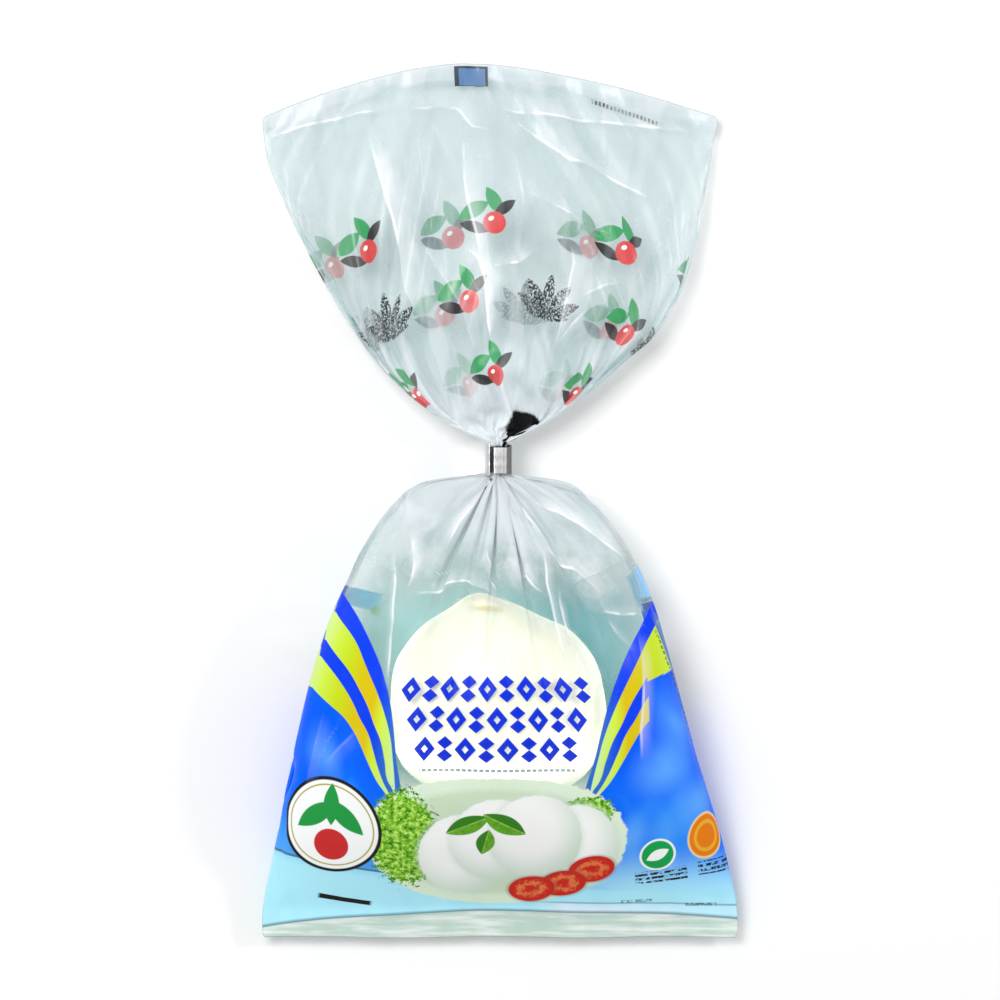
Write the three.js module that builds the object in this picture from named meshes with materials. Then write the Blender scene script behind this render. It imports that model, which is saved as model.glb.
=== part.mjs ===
// A clear film bag of mozzarella in brine, gathered at its neck in a metal clip.
//
// The bag is one tube of film, welded flat at both ends. Below the clip it holds the cheese and
// its brine, and above the clip the empty film flares into a fan. It lies on its back: +Z is up,
// +Y runs from the filled end towards the fan, and the origin is on the ground under the middle
// of the bag's box. Millimetres.
//
// The bag's outer form is a loft of closed rows. A row is a line of equal film length from the
// clip, so rows are arcs round the neck that straighten out towards each weld.

import * as THREE from "three";

// ---- Driving dimensions ----

const BODY_LENGTH = 146; // from the clip down to the bottom edge
const CLIP_HEIGHT = 10;
const FAN_LENGTH = 120.7; // from the clip up to the crown of the top edge
const BODY_WELD = 10; // breadth of the flat weld along the bottom edge
const FAN_WELD = 5; // breadth of the flat weld along the top edge
const WELD_THICKNESS = 1.2;
const BODY_WELD_LIFT = 5; // height of the bottom weld's middle above the ground
const FAN_WELD_LIFT = 3.2; // height of the top weld's middle above the ground

const SHOULDER_WIDTH = 79.4; // width that the straight sides would have at the clip
const SIDE_SPREAD = 0.525; // growth in width for each millimetre further down
const SHOULDER_DROP = 50; // the shoulders are round down to here, and the sides straight below
const BOTTOM_PULL = 2.4; // how far each bottom corner draws in at the weld's edge

const FAN_WIDTH = 143.8;
const FAN_SIDE_HEIGHT = 104; // height of the fan's corners above the clip
const FAN_ROUND = 110; // height at which the fan's sides would run upright
const FAN_SPLAY = 0.7; // exponent of the fan's outline: smaller spreads wider at the clip
const FAN_LEAN = -2.0; // how far the top edge's middle stands to the left of the clip

const NECK_HALF_WIDTH = 2.9;
const NECK_HALF_HEIGHT = 2.5;
const NECK_HEIGHT = 14; // height of the neck's middle above the ground
const NECK_SHIFT = -0.5; // the neck stands this far off the bag's middle

const CLIP_WALL = 1.0;
const CLIP_GAP = 0.3; // clearance between the clip and the gathered film
const CLIP_SEAM_ANGLE = 128; // degrees from +X to the open seam, seen along the bag
const CLIP_SEAM_WIDTH = 0.9;
const CLIP_BEVEL = 0.15;

const PLEATS = 13; // soft pleats that run out from the neck
const SHOULDER_PLEAT = 0.055; // pleat depth as a share of the section's size
const FAN_PLEAT = 0.05;

// ---- Resolution ----

const LOOP_POINTS = 72;
const BODY_ROWS = 27;
const FAN_ROWS = 22;
const EDGE_STEPS = 600; // steps in which a side edge is measured

// ---- Helpers ----

// A smooth curve y(x) through a few points.
function through(points) {
  const slope = (i) => {
    const a = points[Math.max(i - 1, 0)];
    const b = points[Math.min(i + 1, points.length - 1)];
    return (b[1] - a[1]) / (b[0] - a[0]);
  };
  return (x) => {
    let i = 0;
    while (i < points.length - 2 && x > points[i + 1][0]) i += 1;
    const [x0, y0] = points[i];
    const [x1, y1] = points[i + 1];
    const h = x1 - x0;
    const t = THREE.MathUtils.clamp((x - x0) / h, 0, 1);
    const rise = (2 * t ** 3 - 3 * t ** 2 + 1) * y0 + (3 * t ** 2 - 2 * t ** 3) * y1;
    return rise + h * ((t ** 3 - 2 * t ** 2 + t) * slope(i) + (t ** 3 - t ** 2) * slope(i + 1));
  };
}

// Length along a side edge as the table [length, distance from the clip], for an edge whose
// half width is given as a function of the distance from the clip.
function measureEdge(halfWidth, reach) {
  const table = [[0, 0]];
  let length = 0;
  for (let i = 1; i <= EDGE_STEPS; i += 1) {
    const at = reach * (i / EDGE_STEPS) ** 2;
    const before = reach * ((i - 1) / EDGE_STEPS) ** 2;
    length += Math.hypot(at - before, halfWidth(at) - halfWidth(before));
    table.push([length, at]);
  }
  return table;
}

function distanceAt(table, length) {
  let i = 1;
  while (i < table.length - 1 && table[i][0] < length) i += 1;
  const [l0, d0] = table[i - 1];
  const [l1, d1] = table[i];
  return d0 + ((d1 - d0) * (length - l0)) / (l1 - l0);
}

const power = (value, exponent) => Math.sign(value) * Math.abs(value) ** exponent;
const ease = (from, to, x) => THREE.MathUtils.smoothstep(x, from, to);

// ---- The bag's outline in plan ----

function bodyHalfWidth(drop) {
  const side = (SHOULDER_WIDTH + SIDE_SPREAD * drop) / 2;
  const round = (1 - (1 - Math.min(drop / SHOULDER_DROP, 1)) ** 3) ** (1 / 3);
  const pull = BOTTOM_PULL * ease(BODY_LENGTH - BODY_WELD, BODY_LENGTH, drop);
  return Math.max(side * round - pull, NECK_HALF_WIDTH);
}

function fanHalfWidth(rise) {
  const round = 1 - (1 - Math.min(rise / FAN_ROUND, 1)) ** 2;
  return Math.max((FAN_WIDTH / 2) * round ** FAN_SPLAY, NECK_HALF_WIDTH);
}

const bodyEdge = measureEdge(bodyHalfWidth, BODY_LENGTH);
const fanEdge = measureEdge(fanHalfWidth, FAN_SIDE_HEIGHT);
const BODY_FILM = bodyEdge[EDGE_STEPS][0]; // film length from the clip to the bottom edge
const FAN_FILM = fanEdge[EDGE_STEPS][0]; // film length from the clip to the top edge

// ---- The bag's thickness ----

// Heights above the ground by distance from the clip: along the middle of the upper film, along
// the sides and along the middle of the lower film. A lower film that would sink below the
// ground lies flat on it, and that is what the bag rests on.
const halfWeld = WELD_THICKNESS / 2;
const bodyCrown = through([
  [0, NECK_HEIGHT + NECK_HALF_HEIGHT], [4, 22], [14, 34], [32, 45], [54, 51], [74, 52.5],
  [92, 47], [108, 35.5], [122, 21], [BODY_LENGTH - BODY_WELD, BODY_WELD_LIFT + 2.6],
  [BODY_LENGTH, BODY_WELD_LIFT + halfWeld],
]);
const bodySide = through([
  [0, NECK_HEIGHT], [14, 17], [40, 20], [74, 20], [100, 16], [122, 10],
  [BODY_LENGTH - BODY_WELD, BODY_WELD_LIFT + 2], [BODY_LENGTH, BODY_WELD_LIFT],
]);
const bodyUnder = through([
  [0, NECK_HEIGHT - NECK_HALF_HEIGHT], [5, 7], [14, 2], [24, -1.5], [50, -3], [100, -3],
  [118, -1], [BODY_LENGTH - BODY_WELD, BODY_WELD_LIFT + 1.4],
  [BODY_LENGTH, BODY_WELD_LIFT - halfWeld],
]);
const fanCrown = through([
  [0, NECK_HEIGHT + NECK_HALF_HEIGHT], [8, 20], [25, 25.5], [50, 27], [80, 22], [104, 11],
  [FAN_LENGTH - FAN_WELD, FAN_WELD_LIFT + 1.4], [FAN_LENGTH, FAN_WELD_LIFT + halfWeld],
]);
const fanSide = through([
  [0, NECK_HEIGHT], [25, 13], [60, 10], [100, 5.5],
  [FAN_LENGTH - FAN_WELD, FAN_WELD_LIFT + 0.8], [FAN_LENGTH, FAN_WELD_LIFT],
]);
const fanUnder = through([
  [0, NECK_HEIGHT - NECK_HALF_HEIGHT], [8, 8], [25, 2], [45, -1], [85, -1], [104, 1],
  [FAN_LENGTH - FAN_WELD, FAN_WELD_LIFT + 0.2], [FAN_LENGTH, FAN_WELD_LIFT - halfWeld],
]);

// ---- Rows ----

// One closed row of points. Angle 0 is the right side and a quarter turn is the middle of the
// upper film.
function row({ halfWidth, side, middle, bow, crown, flank, under, roundness, pleat, along, shift }) {
  const points = [];
  for (let i = 0; i < LOOP_POINTS; i += 1) {
    const angle = (i / LOOP_POINTS) * 2 * Math.PI;
    const across = Math.cos(angle);
    const up = Math.sin(angle);
    const swell = 1 + pleat * Math.cos(PLEATS * angle + 0.8 * Math.sin(2 * angle));
    const depth = up > 0 ? crown - flank : flank - under;
    const offset = power(across, roundness); // share of the half width
    const reach = side + (middle - side) * (1 - offset ** 2) ** (bow / 2);
    points.push(new THREE.Vector3(
      shift + halfWidth * offset * (1 + (swell - 1) * Math.abs(up)),
      along * reach,
      Math.max(flank + depth * power(up, roundness) * swell, 0),
    ));
  }
  return points;
}

function bodyRow(share) {
  const film = BODY_FILM * share;
  const side = distanceAt(bodyEdge, film);
  const middle = BODY_LENGTH * share;
  const flat = ease(BODY_LENGTH - 2 * BODY_WELD, BODY_LENGTH - BODY_WELD, middle);
  return row({
    halfWidth: bodyHalfWidth(side),
    side,
    middle,
    bow: 1,
    crown: bodyCrown(middle),
    flank: bodySide(middle),
    under: bodyUnder(middle),
    roundness: THREE.MathUtils.lerp(0.95, 0.5, flat),
    pleat: SHOULDER_PLEAT * ease(0, 12, middle) * (1 - ease(20, 95, middle)),
    along: -1,
    shift: NECK_SHIFT * (1 - ease(0, 60, middle)),
  });
}

function fanRow(share) {
  const film = FAN_FILM * share;
  const side = distanceAt(fanEdge, film);
  const middle = FAN_LENGTH * share;
  const flat = ease(FAN_LENGTH - 4 * FAN_WELD, FAN_LENGTH - FAN_WELD, middle);
  return row({
    halfWidth: fanHalfWidth(side),
    side,
    middle,
    bow: 1 + share,
    crown: fanCrown(middle),
    flank: fanSide(middle),
    under: fanUnder(middle),
    roundness: THREE.MathUtils.lerp(1, 0.5, flat),
    pleat: FAN_PLEAT * ease(0, 12, middle) * (1 - flat),
    along: 1,
    shift: NECK_SHIFT + FAN_LEAN * share,
  });
}

// All rows from the bottom edge to the top edge, with Y counted from the clip's lower end.
function bagRows() {
  const rows = [];
  for (let i = 0; i <= BODY_ROWS; i += 1) {
    const share = 1 - i / BODY_ROWS;
    rows.push(bodyRow(share ** 1.15));
  }
  const lift = new THREE.Vector3(0, CLIP_HEIGHT, 0);
  for (let i = 0; i <= FAN_ROWS; i += 1) {
    const share = i / FAN_ROWS;
    rows.push(fanRow(share ** 1.15).map((point) => point.add(lift)));
  }
  return rows;
}

// ---- Solids ----

function bagGeometry() {
  const rows = bagRows();
  const positions = rows.flat().flatMap((point) => point.toArray());
  const last = rows.length - 1;
  const indices = [];
  const at = (r, i) => r * LOOP_POINTS + ((i + LOOP_POINTS) % LOOP_POINTS);
  const quad = (a, b, c, d) => indices.push(a, b, c, a, c, d);
  for (let r = 0; r < last; r += 1) {
    for (let i = 0; i < LOOP_POINTS; i += 1) {
      quad(at(r, i), at(r + 1, i), at(r + 1, i + 1), at(r, i + 1));
    }
  }
  // Each end is shut by strips between its upper and its lower film.
  for (let i = 0; i < LOOP_POINTS / 2; i += 1) {
    const [upper, lower] = [i, LOOP_POINTS - i];
    if (i === 0) {
      indices.push(at(0, 0), at(0, 1), at(0, -1));
      indices.push(at(last, 0), at(last, -1), at(last, 1));
    } else if (i < LOOP_POINTS / 2 - 1) {
      quad(at(0, upper), at(0, upper + 1), at(0, lower - 1), at(0, lower));
      quad(at(last, lower), at(last, lower - 1), at(last, upper + 1), at(last, upper));
    } else {
      indices.push(at(0, upper), at(0, upper + 1), at(0, lower));
      indices.push(at(last, lower), at(last, upper + 1), at(last, upper));
    }
  }
  const geometry = new THREE.BufferGeometry();
  geometry.setAttribute("position", new THREE.Float32BufferAttribute(positions, 3));
  geometry.setIndex(indices);
  geometry.computeVertexNormals();
  return geometry;
}

// The clip is a strip bent round the neck into a rounded square, with its ends left a seam apart.
function clipGeometry() {
  const steps = 36;
  const inner = [NECK_HALF_WIDTH + CLIP_GAP, NECK_HALF_HEIGHT + CLIP_GAP];
  const outer = inner.map((half) => half + CLIP_WALL);
  const seamHalfAngle = CLIP_SEAM_WIDTH / 2 / outer[0];
  const start = THREE.MathUtils.degToRad(CLIP_SEAM_ANGLE) + seamHalfAngle;
  const sweep = 2 * (Math.PI - seamHalfAngle);
  const squareness = 0.6;
  const side = (halves, order) => Array.from({ length: steps + 1 }, (_, i) => {
    const angle = start + (sweep * (order > 0 ? i : steps - i)) / steps;
    return new THREE.Vector2(
      halves[0] * power(Math.cos(angle), squareness),
      halves[1] * power(Math.sin(angle), squareness),
    );
  });
  const outline = new THREE.Shape([...side(outer, 1), ...side(inner, -1)]);
  const geometry = new THREE.ExtrudeGeometry(outline, {
    depth: CLIP_HEIGHT - 2 * CLIP_BEVEL,
    steps: 1,
    bevelEnabled: true,
    bevelSize: CLIP_BEVEL,
    bevelOffset: -CLIP_BEVEL,
    bevelThickness: CLIP_BEVEL,
    bevelSegments: 1,
  });
  geometry.translate(0, 0, CLIP_BEVEL);
  geometry.rotateX(Math.PI / 2); // the strip's height now runs along -Y and the seam faces up
  return geometry;
}

// ---- Materials ----

const film = new THREE.MeshStandardMaterial({ color: 0xb9d8e6, roughness: 0.18, metalness: 0 });
const metal = new THREE.MeshStandardMaterial({ color: 0xb4b6b8, roughness: 0.35, metalness: 1 });

// ---- Assembly ----

const assembly = new THREE.Group();
assembly.position.y = BODY_LENGTH - (BODY_LENGTH + CLIP_HEIGHT + FAN_LENGTH) / 2;

const bag = new THREE.Mesh(bagGeometry(), film);
bag.name = "bag";

const clip = new THREE.Mesh(clipGeometry(), metal);
clip.name = "clip";
clip.position.set(NECK_SHIFT, CLIP_HEIGHT, NECK_HEIGHT);

assembly.add(bag, clip);

export default assembly;
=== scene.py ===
import math

import bpy
import numpy as np
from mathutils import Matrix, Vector
from mathutils.bvhtree import BVHTree


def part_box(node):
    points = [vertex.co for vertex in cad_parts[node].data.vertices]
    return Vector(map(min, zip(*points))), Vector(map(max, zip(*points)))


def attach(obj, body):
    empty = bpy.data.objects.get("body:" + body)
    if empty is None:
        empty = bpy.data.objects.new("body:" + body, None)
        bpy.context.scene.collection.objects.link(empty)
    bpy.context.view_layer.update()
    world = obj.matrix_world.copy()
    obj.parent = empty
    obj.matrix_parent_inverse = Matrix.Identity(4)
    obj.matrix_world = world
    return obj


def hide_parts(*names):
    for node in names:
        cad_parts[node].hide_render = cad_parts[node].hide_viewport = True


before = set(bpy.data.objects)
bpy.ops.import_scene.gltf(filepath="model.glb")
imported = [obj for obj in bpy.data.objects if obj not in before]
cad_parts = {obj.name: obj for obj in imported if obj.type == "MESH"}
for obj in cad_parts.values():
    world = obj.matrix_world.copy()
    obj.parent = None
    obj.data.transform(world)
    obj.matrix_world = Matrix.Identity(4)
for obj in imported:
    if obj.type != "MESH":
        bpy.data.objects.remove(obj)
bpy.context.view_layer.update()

bpy.ops.object.select_all(action="DESELECT")

# The camera hangs straight over the pack, which lies on its back with the printed front up.
# It stands far off behind a long lens, so the pack shows with little perspective.
CAMERA_HEIGHT = 1.761
LENS = 200

bpy.ops.object.camera_add(location=(0, 0, CAMERA_HEIGHT))
camera = bpy.context.object
camera.name = "camera"
camera.data.lens = LENS
bpy.context.scene.camera = camera

# The cheese is one ball of stretched curd, torn off the string by hand. The tear leaves a short
# blunt tip with a fold under it, and the brine keeps the skin smooth, wet and porcelain white.
CLIP_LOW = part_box("clip")[0].y * 1000
BALL_BELOW_CLIP = 72.5
BALL_MIDDLE = np.array([-0.5, CLIP_LOW - BALL_BELOW_CLIP, 25.4])
BALL_HALF = np.array([33.6, 32.0, 23.6])
BALL_TIP = Vector((-0.0075, 0.0312, 0.005))
RIGHT_OF_TIP = Vector((0.0100, 0.0300, 0.004))
LEFT_SHOULDER = Vector((-0.0265, 0.0190, 0.004))
FOLD_LINE = 0.0314
CHEESE_WHITE = (0.96, 0.93, 0.755, 1)
# Painted glow of the skin: faint where it faces up, strong on its sides.
CHEESE_GLOW, CHEESE_SIDE_GLOW = 0.13, 1.2
CHEESE_CREAM = (0.88, 0.82, 0.63, 1)
CHEESE_TIP = (0.98, 0.87, 0.70, 1)
CHEESE_FOLD_SHADE = (0.72, 0.65, 0.30, 1)
FOLD_MIDDLE, FOLD_HALF = (-0.0034, 0.0312), (0.0062, 0.0013)
TORN_MIDDLE, TORN_HALF = (-0.0045, 0.0340), (0.0130, 0.0048)


class Finish:
    """One material and short ways to wire its nodes, each input a number, a colour or a socket."""

    def __init__(self, name, **values):
        self.material = bpy.data.materials.new(name)
        self.material.use_nodes = True
        self.material.cycles.emission_sampling = "NONE"
        self.tree = self.material.node_tree
        self.surface = self.tree.nodes["Principled BSDF"]
        self.set(**values)

    def set(self, **values):
        """Sets the surface's own sockets, named in lower case with _ for a space."""
        for name, value in values.items():
            self.feed(self.surface.inputs[name.replace("_", " ").title().replace("Ior", "IOR")], value)

    def feed(self, socket, value):
        if isinstance(value, bpy.types.NodeSocket):
            self.tree.links.new(value, socket)
        elif value is not None:
            socket.default_value = value

    def node(self, kind, *inputs, output=0, **settings):
        node = self.tree.nodes.new("ShaderNode" + kind)
        for name, value in settings.items():
            setattr(node, name, value)
        for socket, value in zip(node.inputs, inputs):
            self.feed(socket, value)
        return node.outputs[output]

    def maths(self, operation, *inputs, clamp=False):
        return self.node("Math", *inputs, operation=operation, use_clamp=clamp)

    def mix(self, share, first, second):
        node = self.tree.nodes.new("ShaderNodeMix")
        node.data_type = "RGBA"
        for place, value in ((0, share), (6, first), (7, second)):
            self.feed(node.inputs[place], value)
        return node.outputs[2]

    def ramp(self, value, low, high, first=0.0, last=1.0):
        """A smooth step of value from low to high, between first and last."""
        return self.node("MapRange", value, low, high, first, last, interpolation_type="SMOOTHSTEP")

    def noise(self, place, scale, detail=2.0, roughness=0.5):
        return self.node("TexNoise", place, None, scale, detail, roughness)

    def bump(self, height, distance, strength=1.0):
        self.set(normal=self.node("Bump", strength, distance, None, height))


def pick(piece, wanted):
    """Opens piece in edit mode with just the vertices selected whose place wanted names."""
    bpy.context.view_layer.objects.active = piece
    if bpy.context.mode != "OBJECT":
        bpy.ops.object.mode_set(mode="OBJECT")
    for part in (*piece.data.polygons, *piece.data.edges):
        part.select = False
    for vertex in piece.data.vertices:
        vertex.select = bool(wanted(vertex.co))
    bpy.ops.object.mode_set(mode="EDIT")


def around(middle, reach):
    """Says of a place whether it lies within reach of middle."""
    return lambda place: (place - middle).length < reach


def pull(piece, wanted, move, reach, falloff="SMOOTH"):
    """Moves the picked vertices, and drags the skin around them within reach along."""
    pick(piece, wanted)
    bpy.ops.transform.translate(value=move, use_proportional_edit=True, proportional_size=reach,
                                proportional_edit_falloff=falloff)
    bpy.ops.object.mode_set(mode="OBJECT")


def apply_modifier(piece, kind, **settings):
    bpy.context.view_layer.objects.active = piece
    modifier = piece.modifiers.new(kind.title(), kind)
    for name, value in settings.items():
        setattr(modifier, name, value)
    bpy.ops.object.modifier_apply(modifier=modifier.name)


def settle(piece):
    """Puts the piece's place, turn and size into its mesh, so that its object sits at the origin."""
    bpy.ops.object.select_all(action="DESELECT")
    piece.select_set(True)
    bpy.context.view_layer.objects.active = piece
    bpy.ops.object.transform_apply(location=True, rotation=True, scale=True)
    bpy.ops.object.shade_smooth()
    piece.select_set(False)


bpy.ops.mesh.primitive_ico_sphere_add(subdivisions=6, radius=1.0)
cheese = bpy.context.object
cheese.name = "cheese_ball"
cheese.scale = BALL_HALF / 1000
settle(cheese)
pull(cheese, around(BALL_TIP, 0.004), (-0.0003, 0.0022, 0.0), 0.024)
pull(cheese, around(BALL_TIP, 0.0042), (0.0004, 0.0019, 0.0), 0.009, "SHARP")
pull(cheese, lambda place: abs(place.y - FOLD_LINE) < 0.0008 and -0.009 < place.x < 0.002 and place.z > 0.002,
     (0.0, -0.0005, -0.0014), 0.0032, "SHARP")
pull(cheese, around(LEFT_SHOULDER, 0.004), (-0.0014, 0.0012, 0.0), 0.016)
pull(cheese, around(RIGHT_OF_TIP, 0.003), (-0.0002, -0.0010, 0.0), 0.012)
pull(cheese, lambda place: place.z < -0.0225, (0.0, 0.0, 0.0012), 0.012)
for way in (-1, 1):
    low_side = lambda place: place.x * way > 0.028 and -0.018 < place.y < -0.011 and place.z < 0.004
    pull(cheese, low_side, (0.0014 * way, -0.0006, -0.0004), 0.011)
for size, depth in ((0.020, 0.0016), (0.007, 0.0004), (0.0022, 0.00012)):
    curd = bpy.data.textures.new("curd", "CLOUDS")
    curd.noise_scale = size
    curd.noise_depth = 1
    apply_modifier(cheese, "DISPLACE", texture=curd, strength=depth, mid_level=0.5, texture_coords="LOCAL")
cheese.location = BALL_MIDDLE / 1000
settle(cheese)

skin = Finish("cheese_skin", roughness=0.42, subsurface_weight=0.35, subsurface_scale=0.004, coat_weight=0.2,
              coat_roughness=0.2)
# The skin is lit from within by painted light, faint on top and strong on the sides, for the light that scatters
# through the curd.
facing = skin.node("VectorMath", skin.node("TexCoord", output=1), (0, 0.5, 0.85), operation="DOT_PRODUCT",
                   output=1)
place = skin.node("TexCoord", output=3)
patches = skin.noise(place, 55, 3, 0.55)
colour = skin.mix(skin.ramp(patches, 0.42, 0.68, 0.0, 0.35), CHEESE_WHITE, CHEESE_CREAM)
# The torn tip takes a warmer tone of its own, and the fold under it an olive painted shade.
for middle, half, tone in ((TORN_MIDDLE, TORN_HALF, CHEESE_TIP), (FOLD_MIDDLE, FOLD_HALF, CHEESE_FOLD_SHADE)):
    middle = (middle[0] + BALL_MIDDLE[0] / 1000, middle[1] + BALL_MIDDLE[1] / 1000,
              BALL_MIDDLE[2] / 1000 + 0.01)
    off = skin.node("Mapping", place, middle, (0, 0, math.radians(-6)), (*half, 0.03), vector_type="TEXTURE")
    off = skin.node("VectorMath", off, operation="LENGTH", output=1)
    colour = skin.mix(skin.ramp(off, 0.2, 1.15, 0.85, 0.0), colour, tone)
skin.set(subsurface_radius=(1.0, 0.8, 0.5), base_color=colour, emission_color=colour,
         emission_strength=skin.ramp(facing, 0.10, 0.92, CHEESE_SIDE_GLOW, CHEESE_GLOW))
skin.bump(skin.noise(place, 900, 3, 0.6), 0.0002, 0.35)
cheese.data.materials.append(skin.material)
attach(cheese, "root")

# The bag is a tube of clear film 152 mm wide, welded flat at both ends and gathered into a clip
# part of the way up. The relaxation below lets that tube find its pleats inside the bag's outline:
# the film keeps its length both ways, the ball and brine hold it out, and the clip holds it in.
MM = 1000.0
FLAT_WIDTH = 152.0
GIRTH = 2 * FLAT_WIDTH
COLUMNS = 192
ACROSS_STEP = GIRTH / COLUMNS
BODY_WELD, FAN_WELD = 10.0, 5.0
WELD_GAP = 0.24
bag_low, bag_high = (np.array(corner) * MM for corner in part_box("bag"))
clip_low, clip_high = (np.array(corner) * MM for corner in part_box("clip"))
CLIP_LENGTH = clip_high[1] - clip_low[1]
NECK = np.array([(clip_low[0] + clip_high[0]) / 2, 0, (clip_low[2] + clip_high[2]) / 2])
NECK_HALF = (2.7, 2.3)
CELL = 1.0
TUCKED_SHARE = 0.85
FLOOR_GAP = 0.15
BALL_CLEAR = 0.9
PLEAT_SHARE = 0.5
TOP_EDGE_CROWN = -11.0
# How far the film's left and right sides stand off the mould's outline, by place along the bag.
OUTLINE_TRIM = np.array([
    (-135, 0.0, 0.3), (-107, -0.9, 0.5), (-80, -2.6, -1.0), (-57, -3.2, -1.2), (-38, -2.3, -1.5),
    (-25, -0.3, -1.8), (-10, -0.2, -2.5), (0, -2.0, -1.9), (6, -5.0, 3.0), (12, 0.0, 0.0), (24, -0.6, -0.5),
    (38, 0.0, 1.0), (44, 0.6, 1.9), (50, 1.3, 4.8), (63, 2.3, 4.6), (76, 2.4, 2.5), (95, 0.4, -0.4),
    (107, -1.8, -0.7), (124, -1.4, 0.2)])


def mould():
    """Heights of the bag's top and underside over a grid, and its side outline, in millimetres."""
    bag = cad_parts["bag"].data
    tree = BVHTree.FromPolygons([tuple(vertex.co * MM) for vertex in bag.vertices],
                                [tuple(face.vertices) for face in bag.polygons])
    across = np.arange(math.floor(bag_low[0]) - 2, math.ceil(bag_high[0]) + 3, CELL)
    along = np.arange(math.floor(bag_low[1]), math.ceil(bag_high[1]) + 1, CELL)
    top = np.full((len(along), len(across)), np.nan)
    under = top.copy()
    for row, y in enumerate(along):
        for column, x in enumerate(across):
            hit = tree.ray_cast(Vector((x, y, 200)), Vector((0, 0, -1)))[0]
            if hit is not None:
                top[row, column] = hit.z
                under[row, column] = tree.ray_cast(Vector((x, y, -200)), Vector((0, 0, 1)))[0].z
    left, right = np.full(len(along), np.nan), np.full(len(along), np.nan)
    for row in range(len(along)):
        held = np.flatnonzero(~np.isnan(top[row]))
        if len(held):
            first, last = held[0], held[-1]
            middle = (top[row] + under[row]) / 2
            y = along[row]
            from_left = tree.ray_cast(Vector((-200, y, middle[first])), Vector((1, 0, 0)))[0]
            from_right = tree.ray_cast(Vector((200, y, middle[last])), Vector((-1, 0, 0)))[0]
            left[row] = from_left.x if from_left else across[first]
            right[row] = from_right.x if from_right else across[last]
            for field in (top, under):
                field[row, :first] = middle[first]
                field[row, last + 1:] = middle[last]
    good = np.flatnonzero(~np.isnan(left))
    for field in (top, under, left, right):
        field[:good[0]] = field[good[0]]
        field[good[-1] + 1:] = field[good[-1]]
    trimmed_left, trimmed_right = (side + np.interp(along, OUTLINE_TRIM[:, 0], OUTLINE_TRIM[:, column])
                                   for side, column in ((left, 1), (right, 2)))
    for row in range(len(along)):
        share = (across - trimmed_left[row]) / (trimmed_right[row] - trimmed_left[row])
        for field in (top, under):
            field[row] = np.interp(left[row] + share * (right[row] - left[row]), across, field[row])
    return across, along, top, under, trimmed_left, trimmed_right


GRID_X, GRID_Y, TOP, UNDER, LEFT, RIGHT = mould()


def height(field, x, y):
    """The value of a height field at any place, between its grid points."""
    column = np.clip((x - GRID_X[0]) / CELL, 0, len(GRID_X) - 1.001)
    row = np.clip((y - GRID_Y[0]) / CELL, 0, len(GRID_Y) - 1.001)
    i, j = row.astype(int), column.astype(int)
    s, t = row - i, column - j
    low = field[i, j] * (1 - t) + field[i, j + 1] * t
    high = field[i + 1, j] * (1 - t) + field[i + 1, j + 1] * t
    return low * (1 - s) + high * s


def side_outline(distance, y):
    """Film length along the bag's side edge, its distance from the clip, and the half width there."""
    half = (np.interp(y, GRID_Y, RIGHT) - np.interp(y, GRID_Y, LEFT)) / 2
    length = np.concatenate([[0], np.cumsum(np.hypot(np.diff(distance), np.diff(half)))])
    return length, distance, half


body_distance = np.linspace(0, clip_low[1] - bag_low[1], 800)
BODY_SIDE = side_outline(body_distance, clip_low[1] - body_distance)
widest_fan = GRID_Y[np.argmax(np.where(GRID_Y > 60, RIGHT - LEFT, 0))]
fan_distance = np.linspace(0, widest_fan - clip_high[1], 800)
FAN_SIDE = side_outline(fan_distance, clip_high[1] + fan_distance)
BODY_FILM, FAN_FILM = BODY_SIDE[0][-1], FAN_SIDE[0][-1]
FILM_LENGTH = BODY_FILM + CLIP_LENGTH + FAN_FILM


def row_places():
    """Distances of the rows along the film from its bottom edge, close together near the clip."""
    rows = [0.0]
    while rows[-1] < FILM_LENGTH:
        off = max(BODY_FILM - rows[-1], rows[-1] - BODY_FILM - CLIP_LENGTH, 0)
        rows.append(rows[-1] + 1.7 + 1.5 * min(max((off - 8) / 50, 0), 1))
    return np.array(rows) * FILM_LENGTH / rows[-1]


ALONG = row_places()
ROWS = len(ALONG)
OFF_CLIP = np.maximum(np.maximum(BODY_FILM - ALONG, ALONG - BODY_FILM - CLIP_LENGTH), 0)


def pleat_set(seed, count, shortest, longest, named):
    """Pleats as places round the girth, how far each reaches from the clip, and its weight."""
    draw = np.random.default_rng(seed)
    place = (np.arange(count) + draw.uniform(-0.32, 0.32, count)) / count * GIRTH
    rank = np.argsort(np.argsort((np.arange(count) * 0.61803) % 1.0)) / count
    reach = shortest + (longest - shortest) * (1 - rank) ** 2.6 * draw.uniform(0.8, 1.2, count)
    weight = draw.uniform(0.7, 1.3, count)
    place = np.append(place, [(GIRTH / 4 - across) % GIRTH for across, _, _ in named])
    reach = np.append(reach, [far for _, far, _ in named])
    weight = np.append(weight, [strong for _, _, strong in named])
    return place, reach, weight, draw.uniform(-0.06, 0.06, len(place))


BODY_PLEATS = pleat_set(3, 50, 16, 75, [
    (-46, 105, 2.0), (27, 75, 1.4), (35, 62, 1.2), (50, 110, 1.6), (112, 120, 1.5), (-118, 110, 1.5),
    (-92, 90, 1.0), (92, 95, 1.0), (150, 115, 1.5)])
FAN_PLEATS = pleat_set(5, 46, 14, 70, [
    (-38, 118, 1.4), (-14, 70, 0.6), (36, 122, 1.2), (130, 120, 1.2), (-120, 120, 1.2)])


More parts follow.
